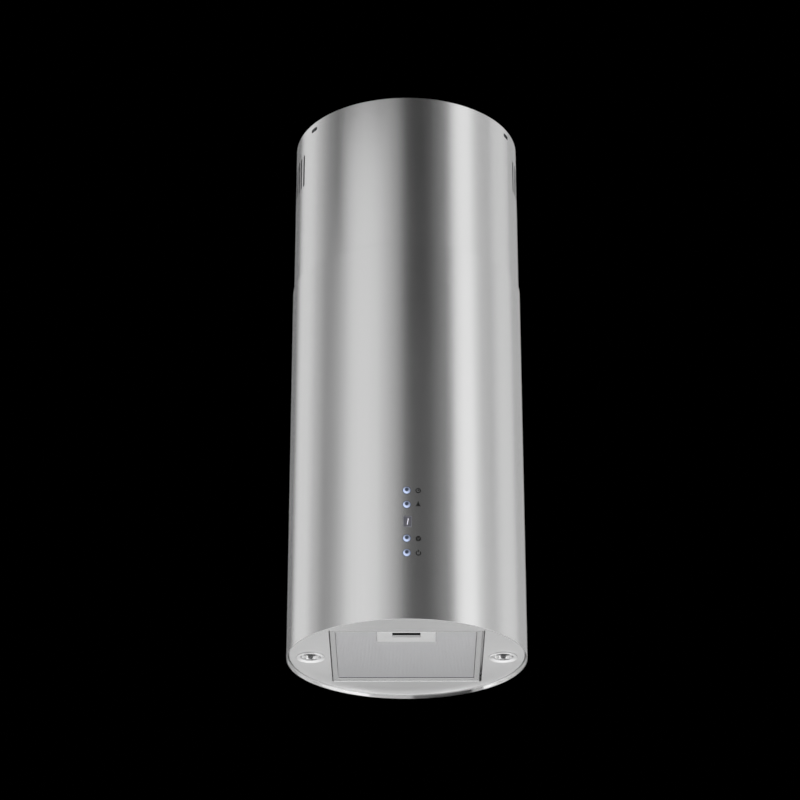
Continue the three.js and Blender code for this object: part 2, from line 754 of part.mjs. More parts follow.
// The whole outline of the casing from x0 to x1: the spiral and the outlet duct that rises from it.
function casing(offset, x0, x1) {
  const round = spiral(offset);
  const tongue = spiral(0)[0];
  const slope = new THREE.Vector2(-outletFront - tongue[0], outletTop - tongue[1]).normalize();
  const low = [tongue[0] - slope.y * offset, tongue[1] + slope.x * offset];
  const topFront = low[0] + (outletTop - low[1]) * slope.x / slope.y;
  const duct = [
    [blowerY, blowerZ], [outletRear + offset, blowerZ], [outletRear + offset, outletTop],
    [topFront, outletTop], low,
  ];
  return join(sidePlate([[blowerY, blowerZ], ...round], x0, x1), sidePlate(duct, x0, x1));
}

function makeScroll() {
  const walls = casing(scrollSheet, -scrollHalfWidth, scrollHalfWidth);
  const across = [-scrollHalfWidth - past, scrollHalfWidth + past];
  const cavity = casing(0, ...across);
  const open = block(...across, -outletFront, outletRear, outletTop - scrollSheet, outletTop + past);
  add('blower_scroll', cut(walls, cavity, open), 'galvanised');
}

function makeBlowerSides() {
  const footBottom = railTop + footHeight;
  for (const [name, side] of sides) {
    const [x0, x1] = span(side, sideInner, sideOuter);
    const cheek = casing(scrollSheet + sideFlange, x0, x1);
    const leg = block(x0, x1, -footHalfLength, footHalfLength, footBottom, blowerZ - scrollStart);
    const foot = block(
      ...span(side, sideInner, railOuterX),
      -footHalfLength, footHalfLength, footBottom, footBottom + scrollSheet,
    );
    const hole = rod(inletHole, [x0 - past, blowerY, blowerZ], [x1 + past, blowerY, blowerZ], 48);
    add(`blower_side_${name}`, cut(join(cheek, leg, foot), hole), 'galvanised');

    // A rubber strip on each rail keeps the blower's hum out of the frame.
    const strip = block(
      ...span(side, railInnerX + stripInset, railOuterX - stripInset),
      -footHalfLength, footHalfLength, railTop + seatGap, footBottom - seatGap,
    );
    add(`rubber_strip_${name}`, strip, 'rubber');

    // A belled ring on the cheek leads the air into the impeller.
    const lip = inletThroat + inletLip;
    const mouthEnd = side * (impellerHalfWidth + mouthGap);
    const flangeFoot = side * (sideOuter + seatGap);
    const flangeTop = side * (sideOuter + seatGap + inletSheet);
    const ring = [
      [inletThroat, mouthEnd], [lip, mouthEnd],
      [lip + inletLip, side * (sideInner - 9)], [inletHole - 4, side * (sideInner - 2)],
      [inletHole - 1, flangeFoot], [inletFlange, flangeFoot], [inletFlange, flangeTop],
      [inletHole - 2, flangeTop], [inletHole - 5.2, side * (sideInner - 1.4)], [lip, side * (sideInner - 8)],
    ];
    add(`inlet_ring_${name}`, turnedOnBlower(ring, 24), 'blackPlastic');
  }
}

function makeImpeller() {
  const half = impellerHalfWidth;
  const bore = shaftRadius + seatGap;
  const thick = wheelSheet / 2;
  const disc = [
    [bore, -hubHalfLength], [hubRadius, -hubHalfLength],
    [hubRadius, -thick], [impellerRadius - thick, -thick],
    [impellerRadius - thick, thick], [hubRadius, thick],
    [hubRadius, hubHalfLength], [bore, hubHalfLength],
  ];
  let wheel = turnedOnBlower(disc, 32);
  const rimInner = impellerRadius - bladeDepth + wheelSheet;
  for (const end of [-1, 1]) {
    const rim = [
      [rimInner, end * (half - wheelSheet)], [impellerRadius, end * (half - wheelSheet)],
      [impellerRadius, end * half], [rimInner, end * half],
    ];
    wheel = wheel.add(turnedOnBlower(rim, 32));
  }
  for (let i = 0; i < bladeCount; i++) {
    const blade = new THREE.BoxGeometry(2 * half - wheelSheet, bladeDepth - bladeThick, bladeThick);
    blade.rotateX(radians(bladePitch));
    blade.translate(0, impellerRadius - bladeDepth / 2 - bladeThick, 0);
    blade.rotateX(2 * Math.PI * i / bladeCount);
    wheel = wheel.add(solidOf(blade.translate(0, blowerY, blowerZ)));
  }
  add('impeller', wheel, 'blackPlastic');
  const shaftStart = -hubHalfLength - shaftStub;
  const shaftEnd = motorFace + shaftDepth - seatGap;
  const shaft = rod(shaftRadius, [shaftStart, blowerY, blowerZ], [shaftEnd, blowerY, blowerZ]);
  add('motor_shaft', shaft, 'chrome');
}

function makeMotor() {
  const motorEnd = motorFace + motorLength;
  const bracketFace = sideOuter + inletSheet + 2 * seatGap;
  const bracketRear = bracketFace + bracketSheet;
  const bore = shaftRadius + seatGap;
  const bodyFace = motorFace + motorEdge;
  const body = [
    [bore, motorFace], [motorBossRadius, motorFace], [motorBossRadius, bodyFace],
    [motorRadius, bodyFace + motorEdge / 2], [motorRadius, motorEnd - motorEdge],
    [motorRadius - motorEdge, motorEnd], [motorSpigotRadius, motorEnd],
    [motorSpigotRadius, bracketFace - seatGap], [0, bracketFace - seatGap],
    [0, motorFace + shaftDepth], [bore, motorFace + shaftDepth],
  ];
  add('motor', turnedOnBlower([...body, body[0]]), 'blackSteel');

  // A flat spider on the right-hand inlet carries the motor.
  const washer = (inner, outer, sides) => turnedOnBlower(
    [[inner, bracketFace], [outer, bracketFace], [outer, bracketRear], [inner, bracketRear]], sides,
  );
  const armStart = bracketHub - bracketBand / 2;
  const armEnd = inletFlange - bracketBand / 2;
  const arms = [90, 210, 330].map((angle) => {
    const arm = new THREE.BoxGeometry(bracketSheet, armEnd - armStart, bracketArm);
    arm.translate((bracketFace + bracketRear) / 2, (armStart + armEnd) / 2, 0);
    arm.rotateX(radians(angle));
    return solidOf(arm.translate(0, blowerY, blowerZ));
  });
  const rim = washer(inletFlange - bracketBand, inletFlange, 32);
  add('motor_bracket', join(rim, washer(0, bracketHub, smallSides), ...arms), 'blackSteel');
}

function makeOutlet() {
  const foot = tiePlateTop + seatGap;
  const inner = collarRadius - collarSheet;
  const flapZ = foot + flapHeight;
  const ledge = flapZ - flapSheet / 2 - seatGap;
  const stop = inner - flapLedge;
  const profile = [
    [inner, foot], [collarRadius + collarFlange, foot], [collarRadius + collarFlange, foot + collarSheet],
    [collarRadius, foot + collarSheet], [collarRadius, foot + collarHeight], [inner, foot + collarHeight],
    [inner, ledge], [stop, ledge], [stop, ledge - flapLedgeSheet], [inner, ledge - 2 * flapLedgeSheet],
  ];
  const reach = collarRadius - collarSheet / 2;
  const far = collarRadius + past;
  const [low, high] = [flapZ - past, flapZ + past];
  let collar = turned(profile, 36);
  for (const [name, side] of sides) {
    const x = side * flapRodOffset;
    const halfRod = Math.sqrt(reach ** 2 - flapRodOffset ** 2);
    collar = collar.add(rod(flapRodRadius, [x, -halfRod, flapZ], [x, halfRod, flapZ], 12));

    // Each flap is half a disc with a sleeve round its rod, and its corners clear the rod's ends.
    const sleeveHalf = stop - sleeveClear;
    const sleeve = rod(flapRodRadius + flapSleeveWall, [x, -sleeveHalf, flapZ], [x, sleeveHalf, flapZ], 12);
    const bore = rod(flapRodRadius + seatGap, [x, -far, flapZ], [x, far, flapZ], 12);
    const disc = roundPlate(inner - flapClear, flapZ - flapSheet / 2, flapZ + flapSheet / 2, 48);
    const keep = block(...span(side, flapRodOffset + flapSheet / 2, far), -far, far, low, high);
    const ends = [-1, 1].map((end) =>
      block(...span(side, 0, flapRodOffset + past), ...span(end, sleeveHalf, far), low, high),
    );
    add(`flap_${name}`, cut(join(cut(disc.intersect(keep), ...ends), sleeve), bore), 'blackPlastic');
  }
  add('outlet_collar', collar, 'blackPlastic');
}

// ---------------------------------------------------------------- electrics

const boxBottom = tiePlateTop + seatGap;
const boxRear = tiePlateHalf - boxInset;
const boxFront = collarRadius + collarFlange + boxClear;
const boxY = (boxFront + boxRear) / 2;

function makeElectronics() {
  const half = boxWidth / 2;
  const boxTop = boxBottom + boxHeight;
  const outer = block(-half, half, boxFront, boxRear, boxBottom, boxTop);
  const inner = block(
    -half + boxSheet, half - boxSheet, boxFront + boxSheet, boxRear - boxSheet,
    boxBottom + boxSheet, boxTop + past,
  );
  add('electronics_box', cut(outer, inner), 'galvanised');

  const lidTop = boxTop + seatGap + boxSheet;
  const lid = block(-half, half, boxFront, boxRear, boxTop + seatGap, lidTop);
  const hole = roundPlate(glandBore, lidTop - past, lidTop + past, smallSides, 0, boxY);
  add('electronics_lid', cut(lid, hole), 'galvanised');

  // The mains lead would enter by this gland.
  const foot = lidTop + seatGap;
  const gland = [
    [glandBore, foot], [glandRadius, foot], [glandRadius, foot + glandFoot], [glandNeck, foot + glandFoot],
    [glandNeck, foot + glandHeight], [glandBore, foot + glandHeight],
  ];
  add('cable_gland', turned(gland, smallSides, 0, boxY), 'blackPlastic');

  const z = boxBottom + capacitorRadius;
  add('capacitor', rod(capacitorRadius, [0, -boxY, z], [capacitorLength, -boxY, z]), 'whitePlastic');
}

// A wire along a smooth curve through hand-picked points.
function lead(name, points, steps) {
  const route = new THREE.CatmullRomCurve3(points.map((point) => new THREE.Vector3(...point)));
  const section = new THREE.Shape();
  section.absarc(0, 0, leadRadius, 0, 2 * Math.PI, false);
  const wire = new THREE.ExtrudeGeometry(section, { steps, curveSegments: 4, extrudePath: route });
  add(name, solidOf(wire), 'blackPlastic');
}

function makeLeads() {
  const boxSide = boxWidth / 2 + seatGap;
  const clear = tiePlateHalf + leadRadius + leadClear;
  const canTop = panelTop + lampCanHeight + seatGap;
  const rise = outletTop - canTop;
  for (const [name, side] of sides) {
    lead(`lamp_lead_${name}`, [
      [side * lampX, 0, canTop], [side * lampX, 0, canTop + 1.5 * leadBend],
      [side * (lampX - leadBend / 2), 2 * leadBend, canTop + 0.38 * rise],
      [side * (clear + leadBend / 3), 3 * leadBend, canTop + 0.69 * rise],
      [side * clear, 4 * leadBend, outletTop - leadBend / 2],
      [side * (clear - leadBend / 3), 4 * leadBend, boxBottom + 0.8 * leadBend],
      [side * (tiePlateHalf - leadBend), boxY - leadBend, boxBottom + 1.5 * leadBend],
      [side * (boxSide + leadBend / 2), boxY, boxBottom + boxHeight / 2],
      [side * boxSide, boxY, boxBottom + boxHeight / 2],
    ], 22);
  }
  const boardX = carrierHalfWidth - bossInset;
  const boardRear = boardFront + boardSheet + seatGap;
  const top = Math.max(...Object.values(buttonHeights));
  const run = boxBottom + leadLift;
  const beside = collarRadius + collarFlange + leadBend;
  lead('control_lead', [
    [boardX, boardRear, top], [boardX, boardRear + leadBend / 2, top],
    [boardX + leadBend, boardRear + leadBend, top + 3 * leadBend],
    [beside - 1.8 * leadBend, -clear - leadBend, outletTop - 2.5 * leadBend],
    [beside - leadBend, -clear, outletTop - leadBend / 2], [beside - 0.7 * leadBend, -clear, run],
    [beside, -boxY + leadBend, run], [beside, 0, run], [beside, boxY - 3 * leadBend, run],
    [beside - leadBend / 2, boxY - 1.5 * leadBend, run],
    [boxSide + leadBend, boxY - leadBend / 2, run], [boxSide, boxY - leadBend / 2, run],
  ], 30);
}

// ---------------------------------------------------------------- controls

const flangeRadius = buttonRadius + buttonFlange;
const flangeFront = -shellInner + flangeBack;
const flangeRear = flangeFront + flangeSheet;
const carrierFront = flangeRear + buttonTravel + carrierSlack;
const carrierRear = carrierFront + carrierSheet;
const boardFront = carrierRear + boardGap;
const switchFront = boardFront - switchHeight;

function makeButtons() {
  for (const [name, z] of buttonList) {
    const front = -shellRadius - buttonProud;
    const cap = rod(buttonRadius, [0, front, z], [0, flangeRear, z]);
    const flange = rod(flangeRadius, [0, flangeFront, z], [0, flangeRear, z]);
    const stemEnd = switchFront - buttonTravel - switchSlack;
    const stem = rod(stemRadius, [0, flangeRear - flangeSheet / 2, z], [0, stemEnd, z], 12);
    add(`button_${name}`, join(cap, flange, stem), 'chrome');
  }
}

function makeControls() {
  const heights = Object.values(buttonHeights);
  const beyond = flangeRadius + lugGap + lugHeight;
  const bottom = Math.min(...heights) - beyond;
  const top = Math.max(...heights) + beyond;
  const half = carrierHalfWidth;
  let carrier = block(-half, half, carrierFront, carrierRear, bottom, top);

  // Lugs reach the shell, bosses carry the board and a frame backs the display.
  for (const z of [bottom, top - lugHeight]) {
    carrier = carrier.add(block(-lugHalfWidth, lugHalfWidth, flangeFront, carrierRear, z, z + lugHeight));
    const middle = z + lugHeight / 2;
    for (const x of [-half + bossInset, half - bossInset]) {
      const ends = [[x, carrierFront, middle], [x, boardFront - seatGap, middle]];
      carrier = carrier.add(rod(bossRadius, ...ends, 12));
    }
  }
  const paneRear = flangeFront + flangeSheet;
  const frame = (grow, y0, y1) => block(
    displayX - displayWidth / 2 - grow, displayX + displayWidth / 2 + grow, y0, y1,
    displayZ - displayHeight / 2 - grow, displayZ + displayHeight / 2 + grow,
  );
  carrier = carrier.add(frame(displayRim, paneRear + seatGap, carrierRear));
  carrier = cut(carrier, frame(0, paneRear - past, carrierRear + past));
  for (const z of heights) {
    const ends = [[0, carrierFront - past, z], [0, carrierRear + past, z]];
    carrier = cut(carrier, rod(stemRadius + seatGap, ...ends, 12));
  }
  add('control_carrier', carrier, 'blackPlastic');

  // The pane fills its cut-out, and its rim lies behind the shell.
  const pane = frame(0, -shellRadius + paneRecess, paneRear);
  add('display_window', join(pane, frame(displayRim, flangeFront, paneRear)), 'darkGlass');

  // The board carries a switch behind each button and the digit behind the window.
  const boardRear = boardFront + boardSheet;
  let board = block(-half + boardInset, half - boardInset, boardFront, boardRear, bottom, top);
  for (const z of heights) {
    const feel = block(-switchHalf, switchHalf, switchFront, boardRear, z - switchHalf, z + switchHalf);
    board = board.add(feel);
  }
  board = board.add(frame(-2 * seatGap, carrierFront, boardRear));
  add('control_board', board, 'greenBoard');
}

makeShell();
makeChimney();
makePanel();
makeRing();
makeRails();
makeFilterFrame();
makeFilterPack();
makeFilterHandle();
makeFilterLatch();
makeLamps();
makeCeilingPlate();
makePosts();
makeTiePlate();
makeScroll();
makeBlowerSides();
makeImpeller();
makeMotor();
makeOutlet();
makeElectronics();
makeLeads();
makeControls();
makeButtons();

export default hood;
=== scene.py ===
# Island range hood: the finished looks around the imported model. Metres, +Z up, front towards -Y.

import json
import math

import bpy
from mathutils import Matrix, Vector


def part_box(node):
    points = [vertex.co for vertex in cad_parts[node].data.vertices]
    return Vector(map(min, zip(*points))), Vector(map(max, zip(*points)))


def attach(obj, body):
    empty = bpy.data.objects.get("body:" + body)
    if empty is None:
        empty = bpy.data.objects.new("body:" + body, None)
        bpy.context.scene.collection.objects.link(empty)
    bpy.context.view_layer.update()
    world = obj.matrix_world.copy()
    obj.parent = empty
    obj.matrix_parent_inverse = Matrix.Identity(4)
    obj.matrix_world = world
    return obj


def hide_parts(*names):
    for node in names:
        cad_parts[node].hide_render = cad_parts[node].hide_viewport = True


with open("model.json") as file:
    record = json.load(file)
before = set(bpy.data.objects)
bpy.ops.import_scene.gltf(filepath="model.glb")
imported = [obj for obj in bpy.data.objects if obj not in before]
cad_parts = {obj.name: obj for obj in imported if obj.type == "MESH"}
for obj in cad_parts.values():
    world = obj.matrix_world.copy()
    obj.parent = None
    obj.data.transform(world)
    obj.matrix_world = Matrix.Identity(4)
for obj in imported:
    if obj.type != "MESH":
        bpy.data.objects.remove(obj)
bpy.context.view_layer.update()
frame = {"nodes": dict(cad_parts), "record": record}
nodes = frame["nodes"]


# Helpers for modelling by operators. editAll and selectWhere leave the piece in edit mode, the others don't.

def onlySelect(*pieces):
    bpy.ops.object.select_all(action="DESELECT")
    for piece in pieces:
        piece.select_set(True)
    bpy.context.view_layer.objects.active = pieces[0]


def settle(piece):
    onlySelect(piece)
    bpy.ops.object.transform_apply(location=True, rotation=True, scale=True)


def modify(piece, kind, **settings):
    onlySelect(piece)
    modifier = piece.modifiers.new(kind.lower(), kind)
    for key, value in settings.items():
        setattr(modifier, key, value)
    bpy.ops.object.modifier_apply(modifier=modifier.name)


def carve(piece, tool, operation="DIFFERENCE"):
    modify(piece, "BOOLEAN", object=tool, operation=operation, solver="EXACT")
    bpy.data.objects.remove(tool)


def editAll(piece):
    onlySelect(piece)
    bpy.ops.object.mode_set(mode="EDIT")
    bpy.ops.mesh.select_mode(type="VERT")
    bpy.ops.mesh.select_all(action="SELECT")


def editDone():
    bpy.ops.object.mode_set(mode="OBJECT")


# A profile of (radius, height) points, extruded point by point and spun round the Z axis.
def turned(name, profile, steps, closed=True):
    bpy.ops.object.select_all(action="DESELECT")
    bpy.ops.mesh.primitive_plane_add(size=0.001)
    piece = bpy.context.object
    piece.name = name
    bpy.ops.object.mode_set(mode="EDIT")
    bpy.ops.mesh.select_mode(type="VERT")
    bpy.ops.mesh.merge(type="CENTER")
    points = [Vector((radius, 0, height)) for radius, height in profile]
    bpy.ops.transform.translate(value=points[0])
    for before, after in zip(points, points[1:] + points[:1] * closed):
        bpy.ops.mesh.extrude_region_move(TRANSFORM_OT_translate={"value": after - before})
    bpy.ops.mesh.select_all(action="SELECT")
    bpy.ops.mesh.remove_doubles(threshold=1e-6)
    bpy.ops.mesh.spin(steps=steps, angle=2 * math.pi, center=(0, 0, 0), axis=(0, 0, 1))
    bpy.ops.mesh.select_all(action="SELECT")
    bpy.ops.mesh.remove_doubles(threshold=1e-6)
    bpy.ops.mesh.normals_make_consistent(inside=False)
    editDone()
    return piece


# Points of an arc in a profile, from one angle to another in degrees.
def arc(centre, radius, start, end, count):
    angles = [math.radians(start + (end - start) * i / count) for i in range(count + 1)]
    return [(centre[0] + radius * math.cos(a), centre[1] + radius * math.sin(a)) for a in angles]


# A box between two corners.
def block(name, low, high):
    bpy.ops.object.select_all(action="DESELECT")
    low, high = Vector(low), Vector(high)
    bpy.ops.mesh.primitive_cube_add(size=1, location=(low + high) / 2, scale=high - low)
    piece = bpy.context.object
    piece.name = name
    settle(piece)
    return piece


def cylinder(radius, length, place, direction, sides):
    bpy.ops.object.select_all(action="DESELECT")
    turn = Vector(direction).to_track_quat("Z", "Y").to_euler()
    bpy.ops.mesh.primitive_cylinder_add(vertices=sides, radius=radius, depth=length, location=place, rotation=turn)
    piece = bpy.context.object
    settle(piece)
    return piece


# A slot's cutter: long on X or upright on Z, round at both ends, through along Y.
def stadium(name, long, wide, depth, upright=False):
    piece = cylinder(wide / 2, depth, (0, 0, 0), (0, -1, 0), 32)
    piece.name = name
    run = (long - wide) / 2
    way = Vector((0, 0, run)) if upright else Vector((run, 0, 0))
    for side in (-1, 1):
        selectWhere(piece, "VERT", lambda place, normal: side * place.dot(way) > 1e-8)
        bpy.ops.transform.translate(value=way * side)
        editDone()
    return piece


# Turns a piece round the Z axis, in degrees.
def spinPiece(piece, degrees):
    piece.rotation_euler.z = math.radians(degrees)
    settle(piece)
    return piece


def moved(piece, step):
    piece.location = step
    settle(piece)
    return piece


# A piece made in front of the axis goes out to a radius and round to its azimuth.
def turnedTo(piece, radius, azimuth, height):
    return spinPiece(moved(piece, (0, -radius, height)), azimuth)


# A piece made along Z is laid along a direction from a place.
def aim(piece, place, direction):
    piece.rotation_euler = Vector(direction).to_track_quat("Z", "Y").to_euler()
    piece.location = place
    settle(piece)
    return piece


def joined(piece, *others):
    onlySelect(piece, *others)
    bpy.ops.object.join()
    return piece


# Enters edit mode with the vertices, edges or faces selected that a test picks by place and direction.
def selectWhere(piece, kind, test):
    onlySelect(piece)
    bpy.ops.object.mode_set(mode="EDIT")
    bpy.ops.mesh.select_mode(type=kind)
    bpy.ops.mesh.select_all(action="DESELECT")
    bpy.ops.object.mode_set(mode="OBJECT")
    mesh = piece.data
    if kind == "VERT":
        for vertex in mesh.vertices:
            vertex.select = test(vertex.co, vertex.normal)
    elif kind == "FACE":
        for face in mesh.polygons:
            face.select = test(face.center, face.normal)
    else:
        for edge in mesh.edges:
            first, second = (mesh.vertices[index].co for index in edge.vertices)
            edge.select = test((first + second) / 2, (second - first).normalized())
    bpy.ops.object.mode_set(mode="EDIT")


# Rounds the edges that run along one axis.
def bevelAlong(piece, axis, width, segments):
    selectWhere(piece, "EDGE", lambda middle, way: abs(way[axis]) > 0.9)
    bpy.ops.mesh.bevel(offset=width, segments=segments)
    editDone()


def middleOf(node):
    low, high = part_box(node)
    return (low + high) / 2


# Small round edges on a hard-edged piece, with its flats kept flat in the shading.
def rounded(piece, width, segments=2):
    modify(piece, "BEVEL", width=width, segments=segments, limit_method="ANGLE",
           angle_limit=math.radians(50), use_clamp_overlap=True)
    smooth(piece, 40)
    modify(piece, "WEIGHTED_NORMAL", keep_sharp=True)


def smooth(piece, degrees):
    onlySelect(piece)
    bpy.ops.object.shade_smooth_by_angle(angle=math.radians(degrees))


# Faces that were turned round the Z axis get the true normals of their ring at each corner.
def roundNormals(piece):
    mesh = piece.data
    onlySelect(piece)
    bpy.ops.object.shade_smooth()
    corners = [None] * len(mesh.loops)
    for face in mesh.polygons:
        normal = face.normal.copy()
        outward = Vector((face.center.x, face.center.y, 0)).normalized()
        across = Vector((-outward.y, outward.x, 0))
        isTurned = abs(normal.dot(across)) < 0.02
        for loop in face.loop_indices:
            corners[loop] = normal
            if isTurned:
                place = mesh.vertices[mesh.loops[loop].vertex_index].co
                radial = Vector((place.x, place.y, 0)).normalized()
                corners[loop] = (radial * normal.dot(outward) + Vector((0, 0, normal.z))).normalized()
    mesh.normals_split_custom_set(corners)


alreadyMade = []


def finished(piece, body, slot, material, *replaced):
    alreadyMade.extend(replaced)
    piece.data.materials.clear()
    piece.data.materials.append(material)
    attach(piece, body)
    if replaced:
        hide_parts(*replaced)
    print("made", piece.name, len(piece.data.polygons), "faces")
    return piece


# A node's socket, on which Python's operators add Math nodes.

class Wire:
    def __init__(self, graph, socket):
        self.graph = graph
        self.socket = socket

    def maths(self, operation, *values):
        return self.graph.node("ShaderNodeMath", {"operation": operation}, dict(enumerate(values)))

    def __add__(self, other):
        return self.maths("ADD", self, other)

    def __radd__(self, other):
        return self.maths("ADD", other, self)

    def __sub__(self, other):
        return self.maths("SUBTRACT", self, other)

    def __rsub__(self, other):
        return self.maths("SUBTRACT", other, self)

    def __mul__(self, other):
        return self.maths("MULTIPLY", self, other)

    def __rmul__(self, other):
        return self.maths("MULTIPLY", other, self)

    def __pow__(self, other):
        return self.maths("POWER", self, other)

    def absolute(self):
        return self.maths("ABSOLUTE", self)

    def larger(self, other):
        return self.maths("MAXIMUM", self, other)


class Finish:
    def __init__(self, name):
        self.material = bpy.data.materials.new(name)
        self.material.use_nodes = True
        self.tree = self.material.node_tree
        self.tree.nodes.clear()
        self.place = self.node("ShaderNodeTexCoord", {}, {}, "Object")

    def node(self, kind, settings, inputs, output=0):
        node = self.tree.nodes.new(kind)
        for key, value in settings.items():
            if key == "stops":
                self.setStops(node.color_ramp, value)
            else:
                setattr(node, key, value)
        for key, value in inputs.items():
            socket = self.findSocket(node.inputs, key)
            if isinstance(value, Wire):
                self.tree.links.new(value.socket, socket)
            else:
                socket.default_value = value
        return Wire(self, self.findSocket(node.outputs, output) if node.outputs else None)

    def findSocket(self, sockets, key):
        if isinstance(key, int):
            return sockets[key]
        return next(socket for socket in sockets if key in (socket.identifier, socket.name))

    def setStops(self, ramp, stops):
        while len(ramp.elements) < len(stops):
            ramp.elements.new(1)
        for element, (position, level) in zip(ramp.elements, stops):
            element.position = position
            element.color = (level, level, level, 1)

    def axis(self, letter):
        return self.node("ShaderNodeSeparateXYZ", {}, {"Vector": self.place}, letter)

    # The scale is one number, or one for each axis.
    def noise(self, scale, detail=2, rough=0.5):
        scale = scale if isinstance(scale, list) else [scale] * 3
        stretched = self.node("ShaderNodeVectorMath", {"operation": "MULTIPLY"}, {0: self.place, 1: scale}, "Vector")
        return self.node("ShaderNodeTexNoise", {},
                         {"Vector": stretched, "Scale": 1, "Detail": detail, "Roughness": rough})

    def ramp(self, value, *stops):
        return self.node("ShaderNodeValToRGB", {"stops": stops}, {"Fac": value}, "Color")

    def mix(self, factor, first, second):
        inputs = {"Factor_Float": factor, "A_Color": first, "B_Color": second}
        return self.node("ShaderNodeMix", {"data_type": "RGBA"}, inputs, "Result_Color")

    def bump(self, height, distance, strength=1):
        return self.node("ShaderNodeBump", {}, {"Height": height, "Distance": distance, "Strength": strength})

    def surface(self, **inputs):
        named = {key.replace("_", " "): value for key, value in inputs.items()}
        shader = self.node("ShaderNodeBsdfPrincipled", {}, named)
        self.node("ShaderNodeOutputMaterial", {}, {"Surface": shader})
        return self.material


def grey(level, blue=0.0):
    return (level, level, level + blue, 1)


brushValues = {"streak": 0.0009, "length": 0.18, "depth": 0.000005, "stretch": 0.6}    # stretch is of the gloss


# Steel brushed along one axis: streaks are long on that axis and fine across it.
# A wall with a painted shade radius is painted near black on its inner face, which lies under that radius: painted
# shade inside the hollow wall.
# An edge, given as its lowest and highest Z and its nearest and farthest Y, is painted bright and made glossier: a
# painted highlight.
def brushedSteel(name, level, rough, along, paintedShadeRadius=None, edge=None):
    finish = Finish(name)
    fine = [1 / brushValues["streak"]] * 3
    fine[along] = 1 / brushValues["length"]
    broad = [value / 6 for value in fine]
    streaks = finish.noise(fine, detail=3, rough=0.6)
    bands = finish.noise(broad, detail=2)
    cloud = finish.noise(5, detail=2)
    tone = streaks * 0.5 + bands * 0.3 + cloud * 0.2
    colour = finish.mix(tone, grey(level * 0.95), grey(level * 1.05))
    # painted shade: the inner face, under the radius, is painted near black
    if paintedShadeRadius:
        across = finish.axis("X")
        deep = finish.axis("Y")
        reach = (across * across + deep * deep) ** 0.5
        outer = finish.ramp((reach - paintedShadeRadius) * 1000 + 0.5, (0.3, 0), (0.7, 1))
        colour = finish.mix(outer, grey(0.05), colour)
    dullness = rough + (streaks - 0.5) * 0.06 + (cloud - 0.5) * 0.04
    # painted highlight: a pale, glossier band along the given edge
    if edge:
        foot, top, near, far = edge
        up = finish.axis("Z")
        deep = finish.axis("Y")
        within = finish.ramp((up - foot) * (1 / (top - foot)), (0.03, 0), (0.08, 1), (0.9, 1), (1, 0))
        paintedHighlight = within * finish.ramp((deep - near) * (1 / (far - near)), (0.1, 0), (0.2, 1), (0.8, 1), (0.9, 0))
        colour = finish.mix(paintedHighlight, colour, grey(0.95))
        dullness = dullness - paintedHighlight * 0.2
    return finish.surface(
        Base_Color=colour, Metallic=1.0, Roughness=dullness, Anisotropic=brushValues["stretch"],
        Normal=finish.bump(streaks, brushValues["depth"]),
    )


def galvanisedSheet(name):
    finish = Finish(name)
    cells = finish.node("ShaderNodeTexVoronoi", {"feature": "F1"}, {"Vector": finish.place, "Scale": 90}, "Color")
    spangle = finish.node("ShaderNodeSeparateColor", {}, {"Color": cells}, "Red")
    grain = finish.noise(260, detail=3)
    tone = spangle * 0.6 + grain * 0.4
    return finish.surface(
        Base_Color=finish.mix(tone, (0.44, 0.46, 0.47, 1), (0.64, 0.66, 0.68, 1)), Metallic=0.9,
        Roughness=0.38 + spangle * 0.16 + grain * 0.08, Normal=finish.bump(grain, 0.00003),
    )


# A rear shade under 1 darkens the metal from the front to the rear of the filter: painted shade.
def plainMetal(name, level, rough, blue=0.0, rearShade=None):
    finish = Finish(name)
    haze = finish.noise(60, detail=4)
    colour = finish.mix(haze, grey(level * 0.93, blue), grey(level, blue))
    if rearShade:
        back = finish.axis("Y")
        colour = finish.mix(finish.ramp(back * 5 + 0.5, (0.1, 0), (1, 1)), colour, grey(level * rearShade, blue))
    return finish.surface(
        Base_Color=colour, Metallic=1.0, Roughness=rough + haze * 0.06, Normal=finish.bump(haze, 0.000008),
    )


# The filter's rim: its inner edge on the right and at the rear, up to a reach from the filter's middle, is painted
# dark and made duller: a painted shadow line along the mesh's edge.
def rimFinish(name, level, rough, shift, reach):
    finish = Finish(name)
    haze = finish.noise(60, detail=4)
    across = finish.axis("X") - shift
    deep = finish.axis("Y")
    away = across.absolute().larger(deep.absolute())
    within = finish.ramp((away - reach) * 1000 + 0.5, (0.35, 1), (0.6, 0))
    shaded = within * finish.ramp((across.larger(deep) - reach) * 100 + 1, (0, 0), (0.3, 1))
    return finish.surface(
        Base_Color=finish.mix(shaded, finish.mix(haze, grey(level * 0.93), grey(level)), grey(0.13)), Metallic=1.0,
        Roughness=rough + haze * 0.06 + shaded * 0.3, Normal=finish.bump(haze, 0.000008),
    )


# Metal that passes from one level to another between two places on an axis.
def shadedMetal(name, first, second, low, high, rough, axis="Z"):
    finish = Finish(name)
    along = finish.axis(axis)
    haze = finish.noise(90, detail=3)
    shade = finish.ramp((along - low) * (1 / (high - low)), (0, 0), (1, 1))
    return finish.surface(
        Base_Color=finish.mix(shade, grey(first), grey(second)), Metallic=1.0, Roughness=rough + haze * 0.06,
    )


def mouldedPlastic(name, low, high, rough=0.45):
    finish = Finish(name)
    grain = finish.noise(1500, detail=2)
    haze = finish.noise(30, detail=3)
    return finish.surface(
        Base_Color=finish.mix(haze, low, high), Roughness=rough + haze * 0.12,
        Normal=finish.bump(grain, 0.00002),
    )


